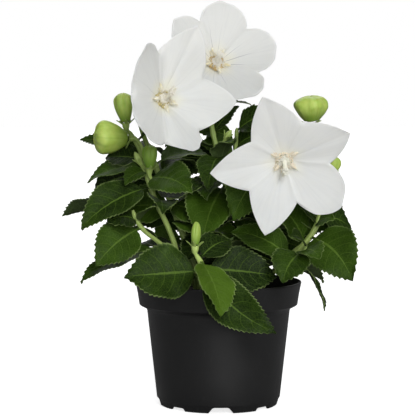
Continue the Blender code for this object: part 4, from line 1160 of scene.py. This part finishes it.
def corolla(name, bloom):
    """A corolla: five fused lobes, creased down their middles, waved along their edges."""
    base, axis, side, up = flower_frame(bloom)
    draw = random.Random("corolla_" + name)
    shift = draw.uniform(0, 40)

    def place(across, along):
        outward = along ** 0.9
        angle, reach, lift, from_notch, roundness = corolla_edge(bloom, across)
        height = 2 * outward * (1 - outward) * (lift / 2 + bloom.bowl) + outward ** 2 * lift
        crease = PETAL_CREASE * (1 - ease(1 - from_notch, 0.0, 0.30)) * ease(outward, 0.15, 0.6)
        seam = PETAL_CREASE * (1 - ease(from_notch, 0.0, 0.22)) * ease(outward, 0.1, 0.7)
        flat = Vector((math.cos(angle), math.sin(angle), 0)) * (reach * outward)
        spot = flat + Vector((0, 0, shift))
        wave = noise.noise(spot * 33) * PETAL_WAVE * ease(outward, 0.25, 0.9)
        pucker = noise.noise(spot * 125) * PETAL_PUCKER * ease(outward, 0.2, 0.7)
        height += seam - crease + wave + pucker
        if roundness < 0.5:
            height -= 0.0014 * ease(outward, 0.8, 1.0) * ease(from_notch, 0.75, 1.0)
        ripple = (0.0006 + 0.0020 * roundness) * ease(outward, 0.75, 1.0)
        height += ripple * noise.noise(Vector((angle * 5.5, shift, 0)))
        uneven = 1 + (0.006 + 0.028 * roundness) * noise.noise(
            Vector((angle * 4.0, shift, 9))) * ease(outward, 0.8, 1.0)
        spread_out = reach * outward * uneven
        return Vector((math.sin(angle) * spread_out, math.cos(angle) * spread_out, height))

    sheet = shaped_grid(PETAL_COLUMNS, PETAL_ROWS, place)
    soft = [vertex for vertex in sheet.verts
            if not vertex.is_boundary and vertex.co.length > THROAT_RADIUS]
    for _ in range(PETAL_SMOOTHING):
        bmesh.ops.smooth_vert(sheet, verts=soft, factor=0.5, use_axis_x=False, use_axis_y=False,
                              use_axis_z=True)
    turned = Matrix((side, up, axis)).transposed().to_4x4()
    bmesh.ops.transform(sheet, matrix=Matrix.Translation(base) @ turned, verts=sheet.verts)
    sheet.normal_update()
    outer = max(sheet.faces, key=lambda face: (face.calc_center_median() - base).length)
    if outer.normal.dot(axis) < 0:
        bmesh.ops.reverse_faces(sheet, faces=sheet.faces)
    return dressed("corolla_" + name + "_dressed", [walled(sheet, PETAL_THICKNESS, 0)],
                   ["petal_" + name], ["corolla_" + name], 70)


def dome(bloom):
    """The ribbed dome under a bloom's style, turned round the bloom's axis."""
    base, axis, side, up = flower_frame(bloom)
    rows = len(DOME_PROFILE) - 1

    def place(across, along):
        radius, height = DOME_PROFILE[round(along * rows)]
        angle = math.tau * across
        radius *= 1 + DOME_RIB * math.cos(LOBES * angle)
        return base + axis * height + (side * math.cos(angle) + up * math.sin(angle)) * radius

    return outwards(shaped_grid(24, rows, place, material=PALE))


def stamens(name, bloom):
    """The style on its dome, five spent stamens round it and a down of fine hairs."""
    base, axis, side, up = flower_frame(bloom)
    draw = random.Random("stamens_" + name)
    centre = CENTRES[name]
    seat = base + up * centre.lift
    shapes = [dome(bloom)]

    def spoke(degrees):
        angle = math.radians(degrees)
        return up * math.cos(angle) + side * math.sin(angle)

    def add_bar(points, radii, sides, material, start=base):
        """Add a bar through points, each given by its spoke, its reach and its height."""
        path = [start + out * reach + axis * height for out, reach, height in points]
        shapes.append(tube(path, radii, sides, 0, material))

    def add_hair(root, away, length):
        tip = root + away.normalized() * length
        shapes.append(tube([root, root.lerp(tip, 0.6), tip], HAIR_RADII, 4, 0, PALE))

    def on_arm(out, bend, curl, reach, height):
        rise = (height + bend) * centre.slope
        return seat + out * reach + axis * rise + curl * (reach / ARM_FORM[-1][0])

    style = []
    for share, _ in STYLE_FORM:
        rise = STYLE_FOOT + STYLE_LENGTH * share
        style.append(base + axis * rise + up * centre.droop * share ** 1.6)
    shapes.append(tube(style, [radius for _, radius in STYLE_FORM], 12, 0, PALE))
    end = style[-2]
    for index in range(LOBES):
        out = spoke(bloom.spin + 72 * index)
        add_bar([(out, 0.0006, 0), (out, 0.0013, 0.0008), (out, 0.0020, 0.0009)],
                [0.0007, 0.0006, 0.0003], 6, PALE, end)
    for _ in range(centre.fluff):
        out = spoke(draw.uniform(0, 360))
        add_hair(end + out * 0.0008, out + axis * draw.uniform(-0.6, 0.9),
                 draw.uniform(0.0012, 0.0034))
    for step in range(DOME_SCALES):
        out = spoke(step * 360 / DOME_SCALES + draw.uniform(-5, 5))
        inner = draw.uniform(0.0030, 0.0036)
        add_bar([(out, 0.0040, 0.0014), (out, 0.0048, 0.0030),
                 (out, inner, draw.uniform(0.0044, 0.0052))],
                [0.0006, 0.0008, 0.0004], 6, centre.ring)
    for turn in centre.knobs:
        out = spoke(turn)
        add_bar([(out, 0.0042, 0.0022), (out, 0.0050, 0.0038), (out, 0.0044, 0.0052)],
                [0.0009, 0.0013, 0.0007], 8, TAN)
    for turn in bloom.stamens:
        out = spoke(turn + draw.uniform(-3, 3))
        bend = draw.uniform(0.0000, 0.0008)
        curl = spoke(turn + 90) * draw.uniform(-0.0010, 0.0010)
        arm = [on_arm(out, bend, curl, reach, height) for reach, height, _ in ARM_FORM]
        shapes.append(tube(arm, [radius for _, _, radius in ARM_FORM], 8, 0, CREAM))
        for step in THREAD_TURNS:
            beside = spoke(turn + step)
            length = draw.uniform(0.0064, 0.0088)
            add_bar([(beside, 0.0034, 0.0036 * centre.slope),
                     (beside, length * 0.7, 0.0050 * centre.slope),
                     (beside, length, 0.0056 * centre.slope)],
                    [0.00045, 0.00040, 0.00012], 5, CREAM, seat)
        for _ in range(ARM_HAIRS):
            root = on_arm(out, bend, curl, draw.uniform(0.0040, 0.0094), 0.0050)
            add_hair(root, axis * draw.uniform(-0.1, 0.6) + out * 0.4
                     + spoke(draw.uniform(0, 360)), draw.uniform(0.0010, 0.0024))
    for _ in range(DOME_HAIRS):
        out = spoke(draw.uniform(0, 360))
        start = draw.uniform(0.0014, 0.0044)
        root = base + out * start + axis * (0.0058 - start * 0.36)
        add_hair(root, out + axis * draw.uniform(0.2, 1.2) + spoke(draw.uniform(0, 360)) * 0.5,
                 draw.uniform(0.0008, 0.0018))
    for turn in centre.lines:
        add_bar([(spoke(turn + step), 0.0043, 0.0047 - abs(step) * 0.00003)
                 for step in (-17, -6, 6, 17)], [0.0001, 0.00026, 0.00026, 0.0001], 5, OLIVE)
    return dressed("stamens_" + name + "_dressed", shapes,
                   ["cream_" + name, "tan_" + name, "style_" + name, "olive"],
                   ["stamens_" + name])


def bud_radius(shape, along):
    """A bud's radius at a share of its length: its neck, its swelling and its domed top."""
    if along in (0, 1):
        return 0.0
    if along < shape.widest:
        share = along / shape.widest
        swell = share ** 1.3 * (2.3 - 1.3 * share)
        return (shape.neck + (shape.radius - shape.neck) * swell) * min(1, along / 0.02)
    share = (along - shape.widest) / (1 - shape.widest)
    return shape.radius * (1 - share ** 2.2) ** 0.5


def bud(name, shape):
    """A balloon bud: five ribs with sunken seams between them, dented and drawn in at its top."""
    base, axis, side, up = flower_frame(shape)
    tone = BUD_TONES[name]
    slim = shape.radius < 0.006
    groove = 0.10 if slim else 0.03
    dent = 0.05 if slim else 0.09
    shift = random.Random(name).uniform(0, 40)

    def place(across, along):
        along = math.sin(math.pi / 2 * along) if along > 0.5 else along * math.sqrt(2)
        along = min(along, 1.0)
        angle = math.tau * across
        wave = math.cos(LOBES * angle)
        rib = 1 + 0.06 * along * wave - groove * ease(-wave, 0.75, 1.0) * ease(along, 0.15, 0.5)
        spot = Vector((math.cos(angle) * 1.2, math.sin(angle) * 1.2, along * 2.2 + shift))
        rib += dent * (noise.noise(spot) - 0.2) * ease(along, 0.10, 0.45)
        rib += dent * 0.35 * noise.noise(spot * 2.7) * ease(along, 0.10, 0.45)
        radius = bud_radius(shape, along) * min(rib, 1.08)
        pinch = 0.03 * shape.length * ease(along, 0.93, 1.0) * (1 - abs(wave))
        pinch += 0.05 * shape.length * ease(along, 0.80, 1.0) * abs(noise.noise(spot * 1.6))
        spoke = side * math.cos(angle) + up * math.sin(angle)
        if along == 1.0:
            pinch = 0.04 * shape.length
        return base + axis * (shape.length * along - pinch) + spoke * radius

    return dressed(name + "_dressed", [outwards(shaped_grid(60, 36, place, tone))], ["bud"],
                   [name])


def skirt_height(degrees):
    """How far above the ground the pot's skirt ends, at an angle from its front."""
    turn = (degrees + 12 + 360) % 90 - 12
    if abs(turn) < 12:
        return POT_NOTCH_HEIGHT * min(1, (12 - abs(turn)) / 4.5)
    if 36 <= turn <= 54:
        return POT_STEP_HEIGHT * ease(min(turn - 36, 54 - turn), 0.0, 2.6)
    return 0.0


def pot():
    """The nursery pot: rolled lip, deep band, tapered wall with its foot step, and floor."""
    wall = POT_WALL
    under = POT_FLOOR_HEIGHT - wall
    taper = (POT_SHOULDER_RADIUS - POT_FOOT_RADIUS) / (POT_SHOULDER_HEIGHT - POT_FOOT_HEIGHT)
    profile = [
        (0, 0), (POT_BOSS_RADIUS - 0.0003, 0), (POT_BOSS_RADIUS, 0.0003),
        (POT_BOSS_RADIUS, under), (POT_SKIRT_RADIUS - wall, under),
        (POT_SKIRT_RADIUS - wall, "skirt"), (POT_SKIRT_RADIUS - 0.0003, "skirt"),
        (POT_SKIRT_RADIUS, "edge"), (POT_FOOT_RADIUS - 0.0006, POT_FOOT_HEIGHT - 0.0008),
        (POT_FOOT_RADIUS - 0.0001, POT_FOOT_HEIGHT - 0.0003), (POT_FOOT_RADIUS, POT_FOOT_HEIGHT)]
    for share in (0.25, 0.5, 0.75, 0.97):
        height = POT_FOOT_HEIGHT + (POT_SHOULDER_HEIGHT - POT_FOOT_HEIGHT) * share
        profile.append((POT_FOOT_RADIUS + taper * (height - POT_FOOT_HEIGHT), height))
    profile += [
        (POT_SHOULDER_RADIUS + 0.0002, POT_SHOULDER_HEIGHT - 0.0004),
        (POT_SHOULDER_RADIUS + 0.0010, POT_SHOULDER_HEIGHT + 0.0003),
        (POT_BAND_RADIUS - 0.0006, POT_BAND_BOTTOM - 0.0006),
        (POT_BAND_RADIUS - 0.0001, POT_BAND_BOTTOM - 0.0002),
        (POT_BAND_RADIUS, POT_BAND_BOTTOM + 0.0004),
        (POT_BAND_RADIUS + 0.0010, POT_BAND_BOTTOM + 0.0068),
        (POT_RIM_RADIUS - 0.0002, POT_HEIGHT - 0.0016), (POT_RIM_RADIUS, POT_HEIGHT - 0.0010),
        (POT_RIM_RADIUS - 0.0001, POT_HEIGHT - 0.0003), (POT_RIM_RADIUS - 0.0005, POT_HEIGHT),
        (POT_RIM_RADIUS - wall + 0.0003, POT_HEIGHT),
        (POT_RIM_RADIUS - wall, POT_HEIGHT - 0.0004),
        (POT_BAND_RADIUS - wall, POT_BAND_BOTTOM + wall),
        (POT_SHOULDER_RADIUS - wall, POT_SHOULDER_HEIGHT + wall * 0.6),
        (POT_FOOT_RADIUS - wall, POT_FLOOR_HEIGHT), (0, POT_FLOOR_HEIGHT)]
    rows = len(profile) - 1

    def place(across, along):
        radius, height = profile[round(along * rows)]
        degrees = 360 * across
        if height == "skirt":
            height = skirt_height(degrees)
        elif height == "edge":
            height = skirt_height(degrees) + 0.0003
        angle = math.radians(POT_FRONT + degrees)
        return Vector((radius * math.cos(angle), radius * math.sin(angle), height))

    return dressed("pot_dressed", [outwards(shaped_grid(180, rows, place))], ["pot"],
                   ["pot"], 40)


def soil():
    """Peat that fills the pot: a lumpy top with loose crumbs and bits of fibre."""
    draw = random.Random("soil")
    wall = POT_WALL + 0.0006
    top_share = (SOIL_HEIGHT - POT_BAND_BOTTOM) / (POT_HEIGHT - POT_BAND_BOTTOM)
    top_radius = POT_BAND_RADIUS + (POT_RIM_RADIUS - POT_BAND_RADIUS) * top_share - wall
    rings = 34

    def place(across, along):
        ring = round(along * (rings + 3))
        angle = math.tau * across
        spoke = Vector((math.cos(angle), math.sin(angle), 0))
        if ring > rings:
            radius, height = ((POT_BAND_RADIUS - wall - 0.0006, POT_BAND_BOTTOM + 2 * wall),
                              (POT_SHOULDER_RADIUS - wall - 0.0006, POT_SHOULDER_HEIGHT),
                              (0, POT_SHOULDER_HEIGHT))[ring - rings - 1]
            return spoke * radius + Vector((0, 0, height))
        share = ring / rings
        spot = spoke * (top_radius * share)
        lump = noise.noise(spot * 95) * 0.0011 + noise.noise(spot * 330) * 0.0007
        fine = noise.noise(spot * 900) * 0.0004
        level = SOIL_HEIGHT - 0.0004 + (lump + fine) * ease(1 - share, 0.0, 0.12)
        return spot + Vector((0, 0, level))

    shapes = [outwards(shaped_grid(110, rings + 3, place))]
    for _ in range(CRUMBS):
        angle = draw.uniform(0, math.tau)
        reach = math.sqrt(draw.random()) * (top_radius - 0.0022)
        size = draw.uniform(0.0004, 0.0014)
        crumb = bmesh.new()
        crumb.loops.layers.uv.new("UVMap")
        layer = crumb.verts.layers.float.new("tone")
        bmesh.ops.create_icosphere(crumb, subdivisions=1, radius=size)
        squash = (draw.uniform(0.7, 1.6), draw.uniform(0.6, 1.0), draw.uniform(0.4, 0.8))
        bmesh.ops.scale(crumb, vec=squash, verts=crumb.verts)
        tone = draw.random()
        for vertex in crumb.verts:
            vertex.co *= draw.uniform(0.8, 1.15)
            vertex[layer] = tone
        turn = Quaternion((0, 0, 1), draw.uniform(0, math.tau))
        spot = Vector((math.cos(angle) * reach, math.sin(angle) * reach, SOIL_HEIGHT - 0.0002))
        for vertex in crumb.verts:
            vertex.co = turn @ vertex.co + spot
        shapes.append(crumb)
    return dressed("soil_dressed", shapes, ["soil"], ["soil"], 40)


# The stage

# The photo's width and the focal length that fits it, both in its pixels
PHOTO_WIDTH = 415
FOCAL_PIXELS = 1551.2
SENSOR_WIDTH = 36
CAMERA_PLACE = (-0.0068, -0.960, 0.180)
CAMERA_DIP = 3.457

# Each light's direction, power and softness in degrees
LIGHTS = {
    "key_light": ((0.30, -0.85, 0.55), 1.55, 24),
    "front_light": ((0.14, -1.00, 0.00), 2.75, 40),
    "back_light": ((-0.10, 0.90, 0.75), 1.25, 55),
}


def make_camera():
    """The camera at the photo's angle: it stands above the pot and looks a little down."""
    data = bpy.data.cameras.new("camera")
    data.sensor_width = SENSOR_WIDTH
    data.lens = FOCAL_PIXELS * SENSOR_WIDTH / PHOTO_WIDTH
    data.clip_end = 20
    camera = bpy.data.objects.new("camera", data)
    camera.location = CAMERA_PLACE
    camera.rotation_euler = (math.radians(90 - CAMERA_DIP), 0, 0)
    bpy.context.scene.collection.objects.link(camera)
    bpy.context.scene.camera = camera


def add_light(name, towards, power, spread_angle):
    """A distant soft studio light that shines from a direction."""
    data = bpy.data.lights.new(name, "SUN")
    data.energy = power
    data.angle = math.radians(spread_angle)
    light = bpy.data.objects.new(name, data)
    light.location = towards
    light.rotation_euler = Vector(towards).to_track_quat("Z", "Y").to_euler()
    bpy.context.scene.collection.objects.link(light)


def make_stage():
    """A pale floor, a pale sky and soft studio lights."""
    mesh = bmesh.new()
    bmesh.ops.create_grid(mesh, x_segments=1, y_segments=1, size=60.0)
    data = bpy.data.meshes.new("floor")
    mesh.to_mesh(data)
    mesh.free()
    data.materials.append(MATERIALS["floor"])
    floor = bpy.data.objects.new("floor", data)
    bpy.context.scene.collection.objects.link(floor)
    world = bpy.data.worlds.new("studio")
    bpy.context.scene.world = world
    world.use_nodes = True
    tree = world.node_tree
    tree.nodes.remove(tree.nodes["Background"])

    def glow(colour, strength):
        return put(tree, "ShaderNodeBackground", {"Color": colour, "Strength": strength})[0]

    def switched(ray, first, second):
        share = put(tree, "ShaderNodeLightPath")[ray]
        return put(tree, "ShaderNodeMixShader", {0: share, 1: first, 2: second})[0]

    softer = switched("Is Glossy Ray", glow((0.97, 0.985, 1, 1), 0.18), glow((1, 1, 1, 1), 0.03))
    seen = switched("Is Camera Ray", softer, glow((1, 1, 1, 1), 1.0))
    tree.links.new(seen.socket, tree.nodes["World Output"].inputs["Surface"])
    for name, (towards, power, softness) in LIGHTS.items():
        add_light(name, towards, power, softness)


# The whole plant

bpy.context.scene.view_settings.view_transform = "Standard"
make_camera()
make_stage()
pot()
soil()
for stem_name, stem_shape in STEMS.items():
    dress_stem(stem_name, stem_shape)
for bloom_name, bloom_shape in BLOOMS.items():
    corolla(bloom_name, bloom_shape)
    stamens(bloom_name, bloom_shape)
for bud_name, bud_shape in BUDS.items():
    bud(bud_name, bud_shape)
